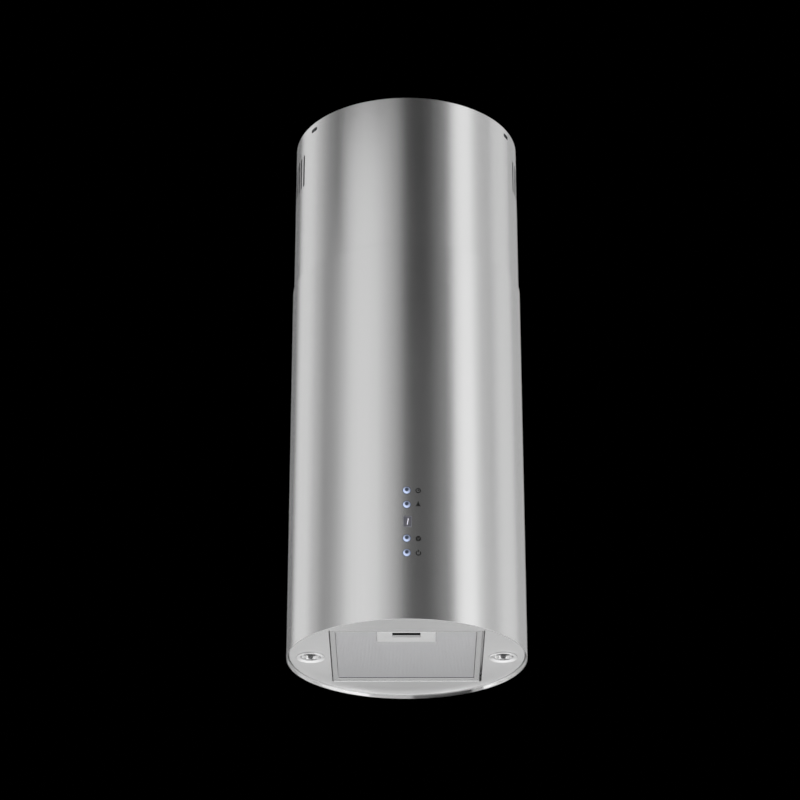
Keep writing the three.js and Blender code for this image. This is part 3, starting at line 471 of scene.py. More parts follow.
def litPlastic(name, colour, strength):
    finish = Finish(name)
    haze = finish.noise(900, detail=2)
    darker = tuple(value * 0.9 for value in colour[:3]) + (1,)
    return finish.surface(
        Base_Color=finish.mix(haze, (0.3, 0.3, 0.32, 1), (0.34, 0.34, 0.36, 1)), Roughness=0.3,
        Emission_Color=finish.mix(haze, darker, colour), Emission_Strength=strength,
    )


# The button's crescent is partly its glow and partly a painted reflection; its dark dish is a painted reflection.
glowAndReflectionValues = {
    "reach": 0.0053,      # outer radius of the glow
    "dark": 0.003,        # radius of the dark dish, and its rise over the button's middle
    "rise": 0.0015,
    "strength": 0.56,
}


# A push-button with a pale emitting crescent round a dark dish that lies a little high: the crescent is partly the
# button's own glow and partly a painted reflection of the bright floor below, fading towards the upper right, and
# the dark dish is a painted reflection of the dark above.
def litButtonWithPaintedReflection(name, height):
    finish = Finish(f"lit button with painted reflection {name}")
    across = finish.axis("X")
    up = finish.axis("Z") - height
    reach = (across * across + up * up) ** 0.5
    high = up - glowAndReflectionValues["rise"]
    fromDish = (across * across + high * high) ** 0.5
    rim, dark = glowAndReflectionValues["reach"] * 100, glowAndReflectionValues["dark"] * 100
    within = finish.ramp(reach * 100, (rim - 0.02, 1), (rim + 0.09, 0))
    outside = finish.ramp(fromDish * 100, (dark - 0.06, 0), (dark + 0.05, 1))
    # painted reflection: the crescent dims towards the upper right
    lower = finish.ramp((up + across) * 75 + 0.5, (0.15, 1), (0.95, 0.3))
    glowAndPaintedReflection = within * outside * lower
    haze = finish.noise(700, detail=2)
    return finish.surface(
        # The crescent is painted into both the base colour and the emission: partly glow, partly painted reflection.
        Base_Color=finish.mix(glowAndPaintedReflection, (0.03, 0.034, 0.042, 1), (0.4, 0.46, 0.62, 1)),
        Emission_Color=finish.mix(glowAndPaintedReflection, (0.03, 0.045, 0.085, 1), (0.6, 0.7, 1, 1)),
        Emission_Strength=glowAndReflectionValues["strength"], Roughness=0.12 + haze * 0.08,
    )


# The shell's and chimney's inner faces are painted near black: painted shade inside the hood.
shellSteel = brushedSteel("brushed shell steel", 0.72, 0.23, along=2, paintedShadeRadius=0.1895)
chimneySteel = brushedSteel("brushed chimney steel", 0.72, 0.23, along=2, paintedShadeRadius=0.1877)
hemSteel = plainMetal("polished hem", 0.76, 0.09)
# painted highlight along the rear edge of the filter opening
panelSteel = brushedSteel("satin panel steel", 0.74, 0.34, along=0, edge=(0.0063, 0.0078, 0.119, 0.1235))
galvanised = galvanisedSheet("galvanised sheet")
brightMetal = plainMetal("polished metal", 0.86, 0.08)
natural = plainMetal("natural aluminium", 0.78, 0.3)
# painted shade: the filter's mesh and layers darken towards the rear
meshMetal = plainMetal("filter mesh metal", 0.54, 0.5, 0.008, rearShade=0.8)
blackSteel = mouldedPlastic("black painted steel", (0.02, 0.02, 0.022, 1), (0.04, 0.04, 0.045, 1), 0.35)
blackPlastic = mouldedPlastic("black plastic", (0.018, 0.018, 0.02, 1), (0.035, 0.035, 0.038, 1))
whitePlastic = mouldedPlastic("white plastic", (0.7, 0.7, 0.67, 1), (0.8, 0.8, 0.77, 1))
boardGreen = mouldedPlastic("circuit board", (0.02, 0.12, 0.06, 1), (0.04, 0.2, 0.09, 1), 0.35)
blackRubber = mouldedPlastic("rubber", (0.012, 0.012, 0.012, 1), (0.028, 0.028, 0.028, 1), 0.7)
paneTint = mouldedPlastic("display pane", (0.145, 0.145, 0.17, 1), (0.165, 0.165, 0.19, 1), 0.1)

gripMetal = plainMetal("satin grip", 0.9, 0.32)
# painted shadow on the rim's inner edge at the right and the rear
rimMetal = rimFinish("filter rim metal", 0.8, 0.18, shift=-0.0008, reach=0.1093)
bezelMetal = plainMetal("satin bezel", 0.97, 0.3)
# painted shade: the reflector is painted dark deep in the cup, above its mouth
reflectorMetal = shadedMetal("lamp reflector", 0.97, 0.15, 0.0116, 0.0136, 0.03)
latchMetal = shadedMetal("latch metal", 0.04, 0.88, -0.091, -0.0906, 0.3, "Y")
# painted shade: the lamp's capsule is near-black gloss, for the dark middle of the lamp
paintedDarkCapsule = mouldedPlastic("lamp capsule", (0.03, 0.03, 0.032, 1), (0.05, 0.05, 0.052, 1), 0.04)
trayPlastic = mouldedPlastic("tray plastic", (0.07, 0.07, 0.074, 1), (0.09, 0.09, 0.095, 1), 0.5)
paneLine = mouldedPlastic("display line", (0.36, 0.36, 0.4, 1), (0.4, 0.4, 0.44, 1), 0.3)
signInk = mouldedPlastic("sign ink", (0.003, 0.003, 0.003, 1), (0.006, 0.006, 0.006, 1), 0.6)
litDigit = litPlastic("lit digit", (0.9, 0.88, 1, 1), 0.9)

slotFinishes = {
    "shell_steel": shellSteel, "panel_steel": panelSteel, "galvanised_sheet": galvanised,
    "filter_aluminium": natural, "filter_mesh": meshMetal, "bright_metal": brightMetal,
    "black_steel": blackSteel, "black_plastic": blackPlastic, "white_plastic": whitePlastic,
    "display_pane": paneTint, "circuit_board": boardGreen, "rubber": blackRubber,
}


def finishNodes():
    for part in frame["record"]["subparts"]:
        for slot in nodes[part["node"]].material_slots:
            slot.material = slotFinishes[part["material_slot"]]
    print("CAD nodes finished:", len(nodes))


# The stage: floor, lamps and camera.

stage = {
    "floorHeight": -1.65,
    "floorReach": 14,
    "worldLevel": 0.05,
    "lampDistance": 2.6,
    "levelAngle": 26,     # a box with a spread has its brightness this far off its axis
    # angle from the front towards +X, half width and spread in degrees, brightness, foot and top
    "softBoxes": [
        (-42, 18, 150, 0.83, 0.4, 2.42), (-19, 5, 150, 0.6, 0.4, 2.45), (-9, 5, 150, 0.4, 0.4, 2.45),
        (-64, 4, 150, 0.5, 0.4, 2.42), (-72, 4, 150, 0.36, 0.4, 2), (-83, 7, 150, 0.24, 0.4, 4.4),
        (-98, 8, 150, 0.52, 0.4, 4.4), (-121, 16, 160, 0.8, 0.4, 4.4),
        (58, 13, 150, 1.1, 0.4, 4.4), (35, 9, 150, 0.14, 0.4, 4.4),
        (81, 10, 150, 0.52, 0.4, 4.4), (111, 18, 150, 0.76, 0.4, 4.4), (147, 16, 160, 0.45, 0.4, 4.4),
        (-163, 16, 160, 0.15, 0.4, 4.4), (14, 22, 160, 0.04, 0.4, 1.7),
    ],
    # low boxes that only metal mirrors, for the rims underneath
    "lowBoxes": [
        (50, 40, 180, 1.05, -0.28, 0.36), (2, 8, 180, 0.7, -0.28, 0.36), (-14, 8, 180, 0.2, -0.28, 0.36),
        (-74, 6, 180, 0.45, -1, 0.36), (-99, 18, 180, 1.3, -1, 0.36), (-125, 8, 180, 0.6, -1, 0.36),
        (110, 20, 180, 0.75, -1, 0.36), (50, 40, 180, 0.42, -1, -0.28), (2, 8, 180, 0.4, -1, -0.28),
        (61, 23, 180, 0.7, -1, -0.28), (-168, 22, 180, 0.85, -0.42, 0.36),
    ],
    # foot, top and share of brightness of the boxes that carry the bands on down the two cylinders
    "bandBoxes": (-1, 0.4, 0.9),
    # half width, near and far reach, height and brightness of the strip below the front
    "strip": (1.3, 0.35, -0.9, -1.6, 0.82),
    "floorLamp": (3.4, 4.6, 3.75),     # half width, height and brightness of the lamp over the floor
}
cameraValues = {"place": (0, -3.9189, -1.3718), "pitch": 24.973, "yaw": 0.159, "lens": 117.907}


def makeFloor():
    bpy.ops.object.select_all(action="DESELECT")
    bpy.ops.mesh.primitive_plane_add(size=2 * stage["floorReach"], location=(0, 0, stage["floorHeight"]))
    floor = bpy.context.object
    floor.name = "floor"
    settle(floor)
    finish = Finish("pale floor")
    haze = finish.noise(2, detail=3)
    paint = finish.node("ShaderNodeBsdfPrincipled", {},
                        {"Base Color": finish.mix(haze, grey(0.78), grey(0.82)), "Roughness": 0.8})
    clear = finish.node("ShaderNodeBsdfTransparent", {}, {})
    back = finish.node("ShaderNodeNewGeometry", {}, {}, "Backfacing")
    seen = finish.node("ShaderNodeMixShader", {}, {0: back, 1: paint, 2: clear})
    finish.node("ShaderNodeOutputMaterial", {}, {"Surface": seen})
    floor.data.materials.append(finish.material)


def lampAt(name, width, height, level, place, turn, spread=180):
    light = bpy.data.lights.new(name, "AREA")
    light.shape = "RECTANGLE"
    light.size = width
    light.size_y = height
    light.energy = level * width * height * math.pi
    if spread < 180:
        half = math.radians(spread / 2)
        light.spread = 2 * half
        light.energy *= (math.tan(half) - half) / (math.tan(half) - math.tan(math.radians(stage["levelAngle"])))
    lamp = bpy.data.objects.new(name, light)
    lamp.location = place
    lamp.rotation_euler = turn
    lamp.visible_camera = False
    bpy.context.scene.collection.objects.link(lamp)
    return lamp


def makeSoftBox(name, azimuth, halfWidth, spread, level, foot, top):
    angle, reach = math.radians(azimuth), stage["lampDistance"]
    width = 2 * reach * math.tan(math.radians(halfWidth))
    place = (reach * math.sin(angle), -reach * math.cos(angle), (foot + top) / 2)
    return lampAt(name, width, top - foot, level, place, (math.pi / 2, 0, angle), spread)


# A group for light linking: lamps that receive it light these pieces alone, or all pieces but these.
def litGroup(name, pieces, state):
    group = bpy.data.collections.new(name)
    for piece in pieces:
        group.objects.link(piece)
    for entry in group.collection_objects:
        entry.light_linking.link_state = state
    return group


def makeLamps(*cylinders):
    alone = litGroup("cylinders alone", cylinders, "INCLUDE")
    others = litGroup("all but cylinders", cylinders, "EXCLUDE")
    bandFoot, bandTop, share = stage["bandBoxes"]
    for number, values in enumerate(stage["softBoxes"]):
        makeSoftBox(f"soft box {number}", *values)
        azimuth, halfWidth, spread, level = values[:4]
        band = makeSoftBox(f"band box {number}", azimuth, halfWidth, spread, level * share, bandFoot, bandTop)
        band.visible_diffuse = False
        band.light_linking.receiver_collection = alone
    half, near, far, height, level = stage["strip"]
    place = (0, (near + far) / 2, height)
    lowLamps = [lampAt("low strip", 2 * half, near - far, level, place, (math.pi, 0, 0))]
    for number, values in enumerate(stage["lowBoxes"]):
        lowLamps.append(makeSoftBox(f"low box {number}", *values))
    for lamp in lowLamps:
        lamp.visible_diffuse = False
        lamp.light_linking.receiver_collection = others
    print("soft boxes and low boxes placed:", len(stage["softBoxes"]), len(lowLamps))


# A wide lamp high above, for the floor and the top.
def makeFloorLamp():
    half, height, level = stage["floorLamp"]
    lampAt("high lamp", 2 * half, 2 * half, level, (0, 0, height), (0, 0, 0)).visible_glossy = False


def makeWorld():
    world = bpy.data.worlds.new("studio")
    bpy.context.scene.world = world
    world.use_nodes = True
    tree = world.node_tree
    tree.nodes.clear()
    path = tree.nodes.new("ShaderNodeLightPath")
    soft = tree.nodes.new("ShaderNodeBackground")
    soft.inputs["Strength"].default_value = stage["worldLevel"]
    black = tree.nodes.new("ShaderNodeBackground")
    black.inputs["Color"].default_value = (0, 0, 0, 1)
    chosen = tree.nodes.new("ShaderNodeMixShader")
    output = tree.nodes.new("ShaderNodeOutputWorld")
    tree.links.new(path.outputs["Is Camera Ray"], chosen.inputs[0])
    tree.links.new(soft.outputs[0], chosen.inputs[1])
    tree.links.new(black.outputs[0], chosen.inputs[2])
    tree.links.new(chosen.outputs[0], output.inputs["Surface"])


def makeCamera():
    data = bpy.data.cameras.new("camera")
    data.lens = cameraValues["lens"]
    data.sensor_width = 36
    camera = bpy.data.objects.new("camera", data)
    camera.location = cameraValues["place"]
    camera.rotation_euler = (math.radians(90 + cameraValues["pitch"]), 0, math.radians(cameraValues["yaw"]))
    bpy.context.scene.collection.objects.link(camera)
    bpy.context.scene.camera = camera


# Shell and chimney.

shellValues = {
    "wall": 0.001,
    "steps": 256,
    "foot": 0.0007,       # radius of the bottom edge
    "ease": 0.0003,       # of the cut edges
    "holeGap": 0.0003,
    "displayHalf": (0.0068, 0.0093),
}
hemValues = {
    "reach": (0.189, 0.18858, 0.18825, 0.1875, 0.18697),    # radii from the bottom edge inwards
    "rise": (0.0002, 0.0001, 0.0016, 0.0046, 0.0078),
    "top": 0.0092,
}
chimneyValues = {
    "steps": 360,
    "turn": 3.5,          # degrees from the shell
    "ventSize": (0.0056, 0.06),
    "ventPitch": 4,
    "ventsPerSide": 11,
    "ventTop": 0.0443,    # below the plate's top face
    "slotSize": (0.0162, 0.0068),
    "slotDrop": 0.0131,
    "slotAngles": (-58.9, 60, 180),
}


def makeShell():
    v = shellValues
    outer, _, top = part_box("lower_shell")[1]
    edge, ease = v["foot"], v["ease"]
    profile = arc((outer - edge, edge), edge, 0, -90, 6) + [(outer - v["wall"], top)]
    profile += [(outer - ease, top), (outer, top - ease)]
    shell = turned("shell", profile, v["steps"])
    for name in buttonNames:
        place = (0, -outer, middleOf(f"button_{name}").z)
        carve(shell, cylinder(buttonValues["radius"] + v["holeGap"], 0.03, place, (0, -1, 0), 64))
    pane = Vector(displayCentre())
    halfX, halfZ = v["displayHalf"]
    carve(shell, block("pane hole", (pane.x - halfX, -outer - 0.01, pane.z - halfZ),
                       (pane.x + halfX, -outer + 0.012, pane.z + halfZ)))
    roundNormals(shell)
    return finished(shell, "canopy", "shell_steel", shellSteel, "lower_shell")


# The bottom edge is folded inwards to a slanted, polished hem that reaches the panel.
def makeHem():
    v = hemValues
    profile = list(zip(v["reach"], v["rise"]))
    profile += [(v["reach"][-1] + 0.0001, v["rise"][-1] + 0.0003), (v["reach"][0], v["top"])]
    hem = turned("shell_hem", profile, shellValues["steps"])
    roundNormals(hem)
    return finished(hem, "canopy", "shell_steel", hemSteel)


def screwSlots(piece, size):
    v = chimneyValues
    outer, _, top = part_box("upper_chimney")[1]
    for angle in v["slotAngles"]:
        slot = stadium("screw slot", *size, 0.02)
        carve(piece, turnedTo(slot, outer, angle + v["turn"], top - v["slotDrop"]))


def makeChimney():
    v = chimneyValues
    low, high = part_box("upper_chimney")
    outer, foot, top = high.x, low.z, high.z
    inner, ease = outer - shellValues["wall"], shellValues["ease"]
    profile = [(outer, foot), (outer, top - ease), (outer - ease, top), (inner, top), (inner, foot)]
    chimney = turned("chimney", profile, v["steps"])
    width, height = v["ventSize"]
    count = v["ventsPerSide"]
    for side in (-90, 90):
        for number in range(count):
            azimuth = side + v["turn"] + (number - (count - 1) / 2) * v["ventPitch"]
            vent = stadium("vent", height, width, 0.02, upright=True)
            carve(chimney, turnedTo(vent, outer, azimuth, top - v["ventTop"] - height / 2))
    screwSlots(chimney, v["slotSize"])
    roundNormals(chimney)
    return finished(chimney, "chimney", "shell_steel", chimneySteel, "upper_chimney")


# Bottom panel.

panelValues = {
    "sheet": 0.0012,
    "edge": 0.0026,       # outer radius of the turned-up rim
    "rimTop": 0.022,
    "opening": (0.120496, 0.119996),
    "ledge": 0.012,
    "lampHole": 0.0183,
    "fold": 0.0013,
    "pin": 0.0023,
    "boltSlot": (0.0126, 0.0012),    # half width and half height
    "boltHalf": 0.0006,
    "steps": 192,
}


def makePanel():
    v = panelValues
    low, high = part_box("bottom_panel")
    radius, bottom, top = high.x, low.z, high.z
    sheet, edge = v["sheet"], v["edge"]
    corner = (radius - edge, bottom + edge)
    profile = [(0, bottom)] + arc(corner, edge, -90, 0, 8)
    profile += [(radius, v["rimTop"]), (radius - sheet, v["rimTop"])]
    profile += arc(corner, edge - sheet, 0, -90, 6) + [(0, bottom + sheet)]
    panel = turned("bottom_panel_pressing", profile, v["steps"], closed=False)
    openX, openY = v["opening"]
    ledge = v["ledge"]
    well = block("well", (-openX - sheet, -openY - sheet, bottom + sheet / 2), (openX + sheet, openY + sheet, top))
    carve(panel, well, "UNION")
    carve(panel, block("hollow", (-openX, -openY, -0.01), (openX, openY, top - sheet)))
    carve(panel, block("passage", (ledge - openX, ledge - openY, -0.01), (openX - ledge, openY - ledge, 0.05)))
    for name in ("left", "right"):
        place = middleOf(f"lamp_bezel_{name}")
        carve(panel, cylinder(v["lampHole"], 0.03, (place.x, place.y, bottom), (0, 0, 1), 96))
    halfWidth, halfHeight = v["boltSlot"]
    carve(panel, boltSlot(middleOf("filter_latch").x, halfWidth, halfHeight, -openY - 0.009, -openY + 0.009))
    carve(panel, cylinder(v["pin"], 0.27, (0, *pinPlace()), (1, 0, 0), 32))
    rounded(panel, v["fold"], 4)
    return finished(panel, "canopy", "panel_steel", panelSteel, "bottom_panel")


# The cutter of a slot for the latch's bolt, between two places on Y.
def boltSlot(middle, halfWidth, halfHeight, near, far):
    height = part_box("filter_latch")[1].z - panelValues["boltHalf"]
    return block("bolt slot", (middle - halfWidth, near, height - halfHeight),
                 (middle + halfWidth, far, height + halfHeight))


# Grease filter.

filterValues = {
    "half": 0.117996,
    "shift": -0.0008,
    "bottom": 0.008,
    "thick": 0.01,
    "sheet": 0.0016,
    "lip": 0.0095,
    "lipThick": 0.001,
    "edge": 0.0014,
    "slope": 0.0008,      # of the lip's inner edge
    "reach": (1.0034, -0.0012),    # the rim's stretch across and its shift
    "mitre": 0.00025,
    "boltRoom": 0.0009,   # half height of the bolt's slots
    "pin": 0.002,
    "hingeInset": 0.007,
    "cell": (0.0044, 0.0026),   # the expanded sheet's diamonds
    "strand": 0.001,
    "meshHalf": 0.1125,
    "pocketRoom": (0.0232, -0.0775),    # half width and rear of the sheets' opening over the handle's pocket
    "coreSheet": 0.0006,
    "crumple": (0.0045, 0.0007),        # size and height
}


def pinPlace():
    return filterValues["half"] - filterValues["hingeInset"], filterValues["bottom"] + filterValues["thick"] / 2


def makeFilterFrame():
    v = filterValues
    root = math.sqrt(2)
    half, bottom, top = v["half"], v["bottom"], v["bottom"] + v["thick"]
    inner, mouth, edge = half - v["sheet"], half - v["lip"], v["edge"]
    slope = v["slope"]
    section = [(mouth, bottom + slope), (mouth + slope * 1.1, bottom + 0.0001), (mouth + slope * 1.5, bottom)]
    section += arc((half - edge, bottom + edge), edge, -90, 0, 5) + arc((half - edge, top - edge), edge, 0, 90, 5)
    section += [(mouth, top), (mouth, top - v["lipThick"]), (inner, top - v["lipThick"])]
    section += [(inner, bottom + v["lipThick"] * 2), (mouth, bottom + v["lipThick"] * 2)]
    rim = turned("filter_rim", [(radius * root, height) for radius, height in section], 4)
    spinPiece(rim, 45)
    reach = v["lip"] * root
    for turn in (45, 135):
        for side in (-1, 1):
            middle = side * (half - v["lip"] / 2) * root
            groove = block("mitre", (middle - reach, -v["mitre"] / 2, bottom - 0.001),
                           (middle + reach, v["mitre"] / 2, bottom + v["mitre"]))
            carve(rim, spinPiece(groove, turn))
    carve(rim, boltSlot(0, panelValues["boltSlot"][0] - 0.0003, v["boltRoom"], -half - 0.005, -inner + 0.001))
    stretch, shift = v["reach"]
    editAll(rim)
    bpy.ops.transform.resize(value=(stretch, 1, 1), center_override=(0, 0, 0))
    editDone()
    moved(rim, (shift, 0, 0))
    smooth(rim, 35)
    modify(rim, "WEIGHTED_NORMAL", keep_sharp=True)
    finished(rim, "filter", "filter_aluminium", rimMetal, "filter_frame")

    hingeY, hingeZ = pinPlace()
    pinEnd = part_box("filter_frame")[1].x
    for side, name in ((-1, "left"), (1, "right")):
        length = pinEnd - half + 0.0008
        pin = cylinder(v["pin"], length, (side * (pinEnd - length / 2), hingeY, hingeZ), (1, 0, 0), 32)
        pin.name = f"filter_pin_{name}"
        rounded(pin, 0.0004, 2)
        finished(pin, "filter", "filter_aluminium", blackSteel)


# Opens a sheet of the filter over the handle's pocket.
def openPocket(sheet):
    half, rear = filterValues["pocketRoom"]
    shift = filterValues["shift"]
    selectWhere(sheet, "FACE", lambda place, normal: abs(place.x - shift) < half and place.y < rear)
    bpy.ops.mesh.delete(type="FACE")
    editDone()


def makeFaceMesh():
    v = filterValues
    low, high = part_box("filter_face_mesh")
    across, along = v["cell"]
    half = v["meshHalf"]
    count = 2 * math.ceil(half / across + half / along)
    bpy.ops.object.select_all(action="DESELECT")
    bpy.ops.mesh.primitive_grid_add(x_subdivisions=count, y_subdivisions=count, size=count)
    mesh = bpy.context.object
    mesh.name = "filter_face"
    mesh.rotation_euler.z = math.pi / 4
    settle(mesh)
    mesh.scale = (across / math.sqrt(2), along / math.sqrt(2), 1)
    mesh.location = (v["shift"], 0, (low.z + high.z) / 2)
    settle(mesh)
    editAll(mesh)
    for way in (Vector((1, 0, 0)), Vector((-1, 0, 0)), Vector((0, 1, 0)), Vector((0, -1, 0))):
        bpy.ops.mesh.select_all(action="SELECT")
        place = way * half + Vector((v["shift"], 0, 0))
        bpy.ops.mesh.bisect(plane_co=place, plane_no=way, clear_outer=True)
    editDone()
    openPocket(mesh)
    modify(mesh, "WIREFRAME", thickness=v["strand"], use_even_offset=False, use_boundary=True, use_replace=True)
    editAll(mesh)
    bpy.ops.transform.resize(value=(1, 1, 0.8), center_override=mesh.data.vertices[0].co.copy())
    editDone()
    smooth(mesh, 20)
    return finished(mesh, "filter", "filter_mesh", meshMetal, "filter_face_mesh")


def makeFilterCore():
    v = filterValues
    low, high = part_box("filter_core")
    bpy.ops.object.select_all(action="DESELECT")
    bpy.ops.mesh.primitive_grid_add(x_subdivisions=150, y_subdivisions=150, size=1)
    core = bpy.context.object
    core.name = "filter_layers"
    core.scale = (high.x - low.x, high.y - low.y, 1)
    core.location = (v["shift"], 0, low.z + v["coreSheet"])
    settle(core)
    openPocket(core)
    size, height = v["crumple"]
    crumple = bpy.data.textures.new("crumple", "VORONOI")
    crumple.noise_scale = size
    crumple.distance_metric = "DISTANCE_SQUARED"
    modify(core, "DISPLACE", texture=crumple, texture_coords="LOCAL", direction="Z", strength=height, mid_level=0.5)
    modify(core, "SOLIDIFY", thickness=high.z - low.z - 2 * height, offset=1)
    smooth(core, 60)
    return finished(core, "filter", "filter_mesh", meshMetal, "filter_core")


handleValues = {
    "sheet": 0.0008,
    "slotHalf": 0.0217,
    "slotDepth": 0.02,
    "slotInset": 0.003,
    "pocketWall": 0.001,
    "pocketHalf": 0.022,
    "pocket": (-0.105896, -0.078696),
    "pocketTop": 0.0164,
    "corner": 0.0015,
    "slotCorner": 0.0012,
    "fold": 0.00025,
}


def makeHandle():
    v = handleValues
    low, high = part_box("filter_handle")
    middle = (low.x + high.x) / 2
    plateTop = low.z + v["sheet"]
    wall = v["pocketWall"]
    front, rear = v["pocket"]
    handle = block("filter_grip", low, (high.x, high.y, plateTop))
    bevelAlong(handle, 2, v["corner"], 4)
    slotFront = low.y + v["slotInset"]
    mouth = block("mouth", (middle - v["slotHalf"], slotFront, low.z - 0.01),
                  (middle + v["slotHalf"], slotFront + v["slotDepth"], plateTop + 0.01))
    bevelAlong(mouth, 2, v["slotCorner"], 5)
    carve(handle, mouth)
    rounded(handle, v["fold"], 2)
    finished(handle, "filter", "filter_aluminium", gripMetal, "filter_handle")

    # The dark tray behind the finger slot, in which the latch slides.
    tray = block("filter_tray", (middle - v["pocketHalf"] - wall, front - wall, plateTop),
                 (middle + v["pocketHalf"] + wall, rear + wall, v["pocketTop"]))
    carve(tray, block("tray hollow", (middle - v["pocketHalf"], front, plateTop - 0.01),
                      (middle + v["pocketHalf"], rear, v["pocketTop"] - wall)))
    boltHalf = panelValues["boltSlot"][0] - 0.0003
    carve(tray, boltSlot(middle, boltHalf, filterValues["boltRoom"], front - 0.005, front + 0.0005))
    rounded(tray, v["fold"], 2)
    finished(tray, "filter", "black_plastic", trayPlastic)


# Lamps.

lampValues = {
    "aperture": 0.016,
    "neck": 0.018,
    "neckTop": 0.0135,
    "lip": (0.0172, 0.0051),    # the inner end of the bezel's sloping face
    "lipTop": 0.0062,
    "bore": 0.0169,
    "brim": 0.0006,       # radius of its outer edge
    "seat": 0.006,        # height of the bezel's flat back, where it meets the panel
    "depth": 0.022,       # of the reflector, whose sections are shares of its mouth's radius and of this
    "cup": ((0.9226, 0.091), (0.89, 0.182), (0.851, 0.273), (0.786, 0.364), (0.68, 0.47), (0.5, 0.58), (0.25, 0.68)),
    "back": ((0.3, 0.86), (0.56, 0.72), (0.76, 0.56), (0.88, 0.42), (0.96, 0.2)),
    "base": 0.0065,       # radius of its rear end
    "tube": 0.0046,       # radius of the capsule
    "drop": 0.0016,       # of its tip under the reflector's mouth
    "steps": 96,
}


def makeLamp(name):
    v = lampValues
    low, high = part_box(f"lamp_bezel_{name}")
    place = ((low.x + high.x) / 2, 0, 0)
    radius, bottom = (high.x - low.x) / 2, low.z
    seat, brim, lipTop = v["seat"], v["brim"], v["lipTop"]
    section = [(v["bore"], v["neckTop"]), (v["bore"], lipTop + 0.0003), (v["aperture"], lipTop)]
    section += [(v["aperture"], lipTop - 0.0005), v["lip"], (radius - brim * 1.2, bottom + 0.00002)]
    section += arc((radius - brim, bottom + brim), brim, -90, 0, 8)
    section += [(radius, seat), (v["neck"], seat), (v["neck"], v["neckTop"])]
    bezel = moved(turned(f"lamp_ring_{name}", section, v["steps"]), place)
    smooth(bezel, 25)
    finished(bezel, "canopy", "bright_metal", bezelMetal, f"lamp_bezel_{name}")

    low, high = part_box(f"lamp_{name}")
    mouth, depth, base = (high.x - low.x) / 2, v["depth"], v["base"]
    cup = [(mouth, low.z), (mouth - 0.0008, low.z)]
    cup += [(mouth * share, low.z + depth * rise) for share, rise in v["cup"]]
    cup += [(0, low.z + depth * 0.76), (0, high.z), (base, high.z), (base, low.z + depth * 0.9)]
    cup += [(mouth * share, low.z + depth * rise) for share, rise in v["back"]]
    reflector = moved(turned(f"lamp_reflector_{name}", cup, v["steps"]), place)
    smooth(reflector, 30)
    # The reflector's deep part is painted dark: painted shade.
    finished(reflector, "canopy", "bright_metal", reflectorMetal, f"lamp_{name}")

    # The capsule is near black: painted shade in the lamp's middle.
    tube = v["tube"]
    tip = low.z - v["drop"]
    glass = [(0, tip)] + arc((0, tip + tube), tube, -80, 0, 6)[1:]
    glass += [(tube, low.z + depth * 0.72), (0, low.z + depth * 0.72)]
    capsule = moved(turned(f"lamp_capsule_{name}", glass, 32, closed=False), place)
    smooth(capsule, 40)
    finished(capsule, "canopy", "bright_metal", paintedDarkCapsule)


# Buttons, display and signs.

buttonNames = ("timer", "light", "fan", "power")
buttonValues = {
    "radius": 0.0063,
    "crest": 0.0052,
    "dish": 0.0034,
    "dishDepth": 0.0007,
    "dishCurve": ((0, 0), (0.5, 0.00004), (0.85, 0.0002), (1, 0.0004)),    # shares of its radius, and rise
    "shoulder": 0.0011,
    "skirt": 0.0035,      # from the front to the flange's rear face
    "flange": 0.0076,
    "flangeSheet": 0.001,
    "stem": 0.003,
    "steps": 64,
}
displayValues = {
    "paneHalf": (0.0065, 0.009),
    "paneDepth": 0.0022,
    "backStep": 0.0016,   # from the pane's front to its wider back
    "line": 0.0005,
    "corner": 0.0008,
    "sheet": 0.0003,      # depth of the line and the digit, of which a little is proud
    "proud": 0.00005,
    "digit": (0.0012, 0.0108),
    "lean": 9,
    "shift": 0.0004,
}
# A sign's lengths are shares of its size.
signValues = {
    "radius": 0.19005,
    "sideways": 0.0177,
    "size": 0.0035,
    "stroke": 0.0016,
    "hand": 0.0012,
    "thick": 0.00012,
}


def makeButton(name):
    v = buttonValues
    low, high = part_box(f"button_{name}")
    height, total = middleOf(f"button_{name}").z, high.y - low.y
    shoulder, flange, stem = v["shoulder"], v["flange"], v["stem"]
    flangeBack = total - v["skirt"]
    flangeFront = flangeBack + v["flangeSheet"]
    profile = [(v["dish"] * share, total - v["dishDepth"] + rise) for share, rise in v["dishCurve"]]
    profile += [(v["crest"] - 0.0008, total - 0.00008)] + arc((v["crest"], total - shoulder), shoulder, 90, 0, 6)
    profile += [(v["radius"], flangeFront), (flange, flangeFront), (flange, flangeBack)]
    profile += [(stem, flangeBack), (stem, 0), (0, 0)]
    button = turned(f"push_button_{name}", profile, v["steps"], closed=False)
    aim(button, (0, high.y, height), (0, -1, 0))
    smooth(button, 35)
    return finished(button, f"{name}_button", "bright_metal", litButtonWithPaintedReflection(name, height), f"button_{name}")


def displayCentre():
    low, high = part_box("display_window")
    return (low.x + high.x) / 2, low.y, (low.z + high.z) / 2


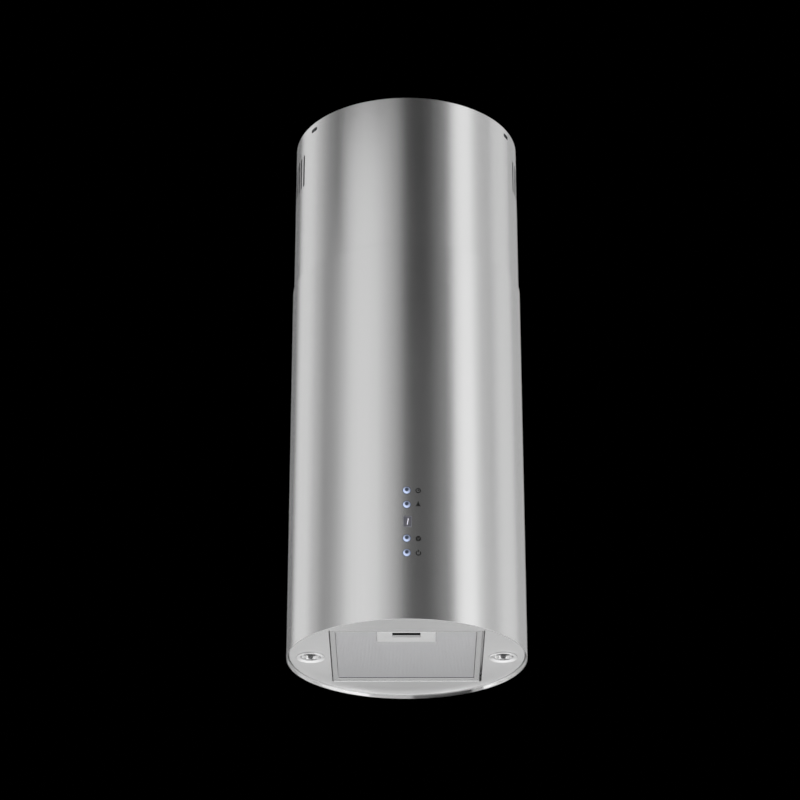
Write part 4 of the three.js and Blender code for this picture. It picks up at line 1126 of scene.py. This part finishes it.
def makeDisplay():
    v = displayValues
    x, y, z = displayCentre()
    low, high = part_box("display_window")
    halfX, halfZ = v["paneHalf"]
    proud, sheet = v["proud"], v["sheet"]
    pane = block("display_pane", (x - halfX, y, z - halfZ), (x + halfX, y + v["paneDepth"], z + halfZ))
    carve(pane, block("pane back", (low.x, y + v["backStep"], low.z), high), "UNION")
    rounded(pane, 0.0002, 2)
    finished(pane, "canopy", "display_pane", paneTint, "display_window")

    line = block("display_line", (x - halfX, y - proud, z - halfZ), (x + halfX, y + sheet, z + halfZ))
    bevelAlong(line, 1, v["corner"], 4)
    halfX, halfZ = halfX - v["line"], halfZ - v["line"]
    carve(line, block("line inside", (x - halfX, y - 0.002, z - halfZ), (x + halfX, y + 0.002, z + halfZ)))
    finished(line, "canopy", "display_pane", paneLine)

    width, height = v["digit"]
    digit = block("display_digit", (-width / 2, -proud, -height / 2), (width / 2, sheet, height / 2))
    bevelAlong(digit, 1, width * 0.45, 4)
    digit.rotation_euler.y = math.radians(v["lean"])
    digit.location = (x + v["shift"], y, z)
    settle(digit)
    finished(digit, "canopy", "display_pane", litDigit)


# Printed signs beside the buttons: clock, lamp, fan and power.
def makeSign(name):
    v = signValues
    size, stroke, thick = v["size"], v["stroke"], v["thick"]
    half, thin = stroke / 2, v["hand"] / 2
    ring = [(size - half, 0), (size + half, 0), (size + half, thick), (size - half, thick)]
    if name == "timer":
        sign = turned("sign_timer", ring, 48)
        joined(sign, block("hand", (-thin, -thin, 0), (thin, size * 0.55, thick)),
               block("hand", (-thin, -thin, 0), (size * 0.5, thin, thick)))
    elif name == "light":
        shade = size * 1.35
        sign = turned("sign_light", [(0, 0), (shade, 0), (shade, thick), (0, thick)], 3, closed=False)
        spinPiece(sign, 90)
        joined(sign, block("flex", (-half, 0, 0), (half, shade * 1.2, thick)))
    elif name == "fan":
        sign = turned("sign_fan", ring, 48)
        blades = []
        for turn in (0, 120, 240):
            blade = cylinder(size * 0.45, thick, (size * 0.62, 0, thick / 2), (0, 0, 1), 32)
            blades.append(spinPiece(blade, turn + 90))
        joined(sign, *blades)
    else:
        sign = turned("sign_power", ring, 48)
        carve(sign, block("gap", (-stroke * 1.35, size * 0.4, -0.001), (stroke * 1.35, size * 1.5, 0.001)))
        joined(sign, block("bar", (-half, size * 0.3, 0), (half, size * 1.5, thick)))
    azimuth = math.asin(v["sideways"] / v["radius"])
    height = middleOf(f"button_{name}").z
    place = (v["radius"] * math.sin(azimuth), -v["radius"] * math.cos(azimuth), height)
    aim(sign, place, (math.sin(azimuth), -math.cos(azimuth), 0))
    return finished(sign, "canopy", "black_plastic", signInk)


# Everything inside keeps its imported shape, with its edges eased.

easedValues = {"edge": 0.00025, "slotRoom": (0.0158, 0.0064)}


def makeEased():
    record = frame["record"]
    bodyOf = {node: body for body, members in record["behaviour"]["bodies"].items() for node in members}
    slotOf = {part["node"]: part["material_slot"] for part in record["subparts"]}
    left = {node: source for node, source in nodes.items() if node not in alreadyMade}
    for node, source in left.items():
        piece = bpy.data.objects.new(f"eased_{node}", source.data.copy())
        bpy.context.scene.collection.objects.link(piece)
        editAll(piece)
        bpy.ops.mesh.remove_doubles(threshold=1e-6)
        bpy.ops.mesh.dissolve_limited(angle_limit=math.radians(0.5))
        editDone()
        if node == "ceiling_plate":
            screwSlots(piece, easedValues["slotRoom"])
        rounded(piece, easedValues["edge"])
        slot = slotOf[node]
        finished(piece, bodyOf[node], slot, latchMetal if node == "filter_latch" else slotFinishes[slot], node)


bpy.context.scene.view_settings.view_transform = "Standard"
finishNodes()
makeFloor()
makeFloorLamp()
makeWorld()
makeCamera()
makeLamps(makeShell(), makeChimney())
makeHem()
makePanel()
makeFilterFrame()
makeFaceMesh()
makeFilterCore()
makeHandle()
for side in ("left", "right"):
    makeLamp(side)
for name in buttonNames:
    makeButton(name)
    makeSign(name)
makeDisplay()
makeEased()
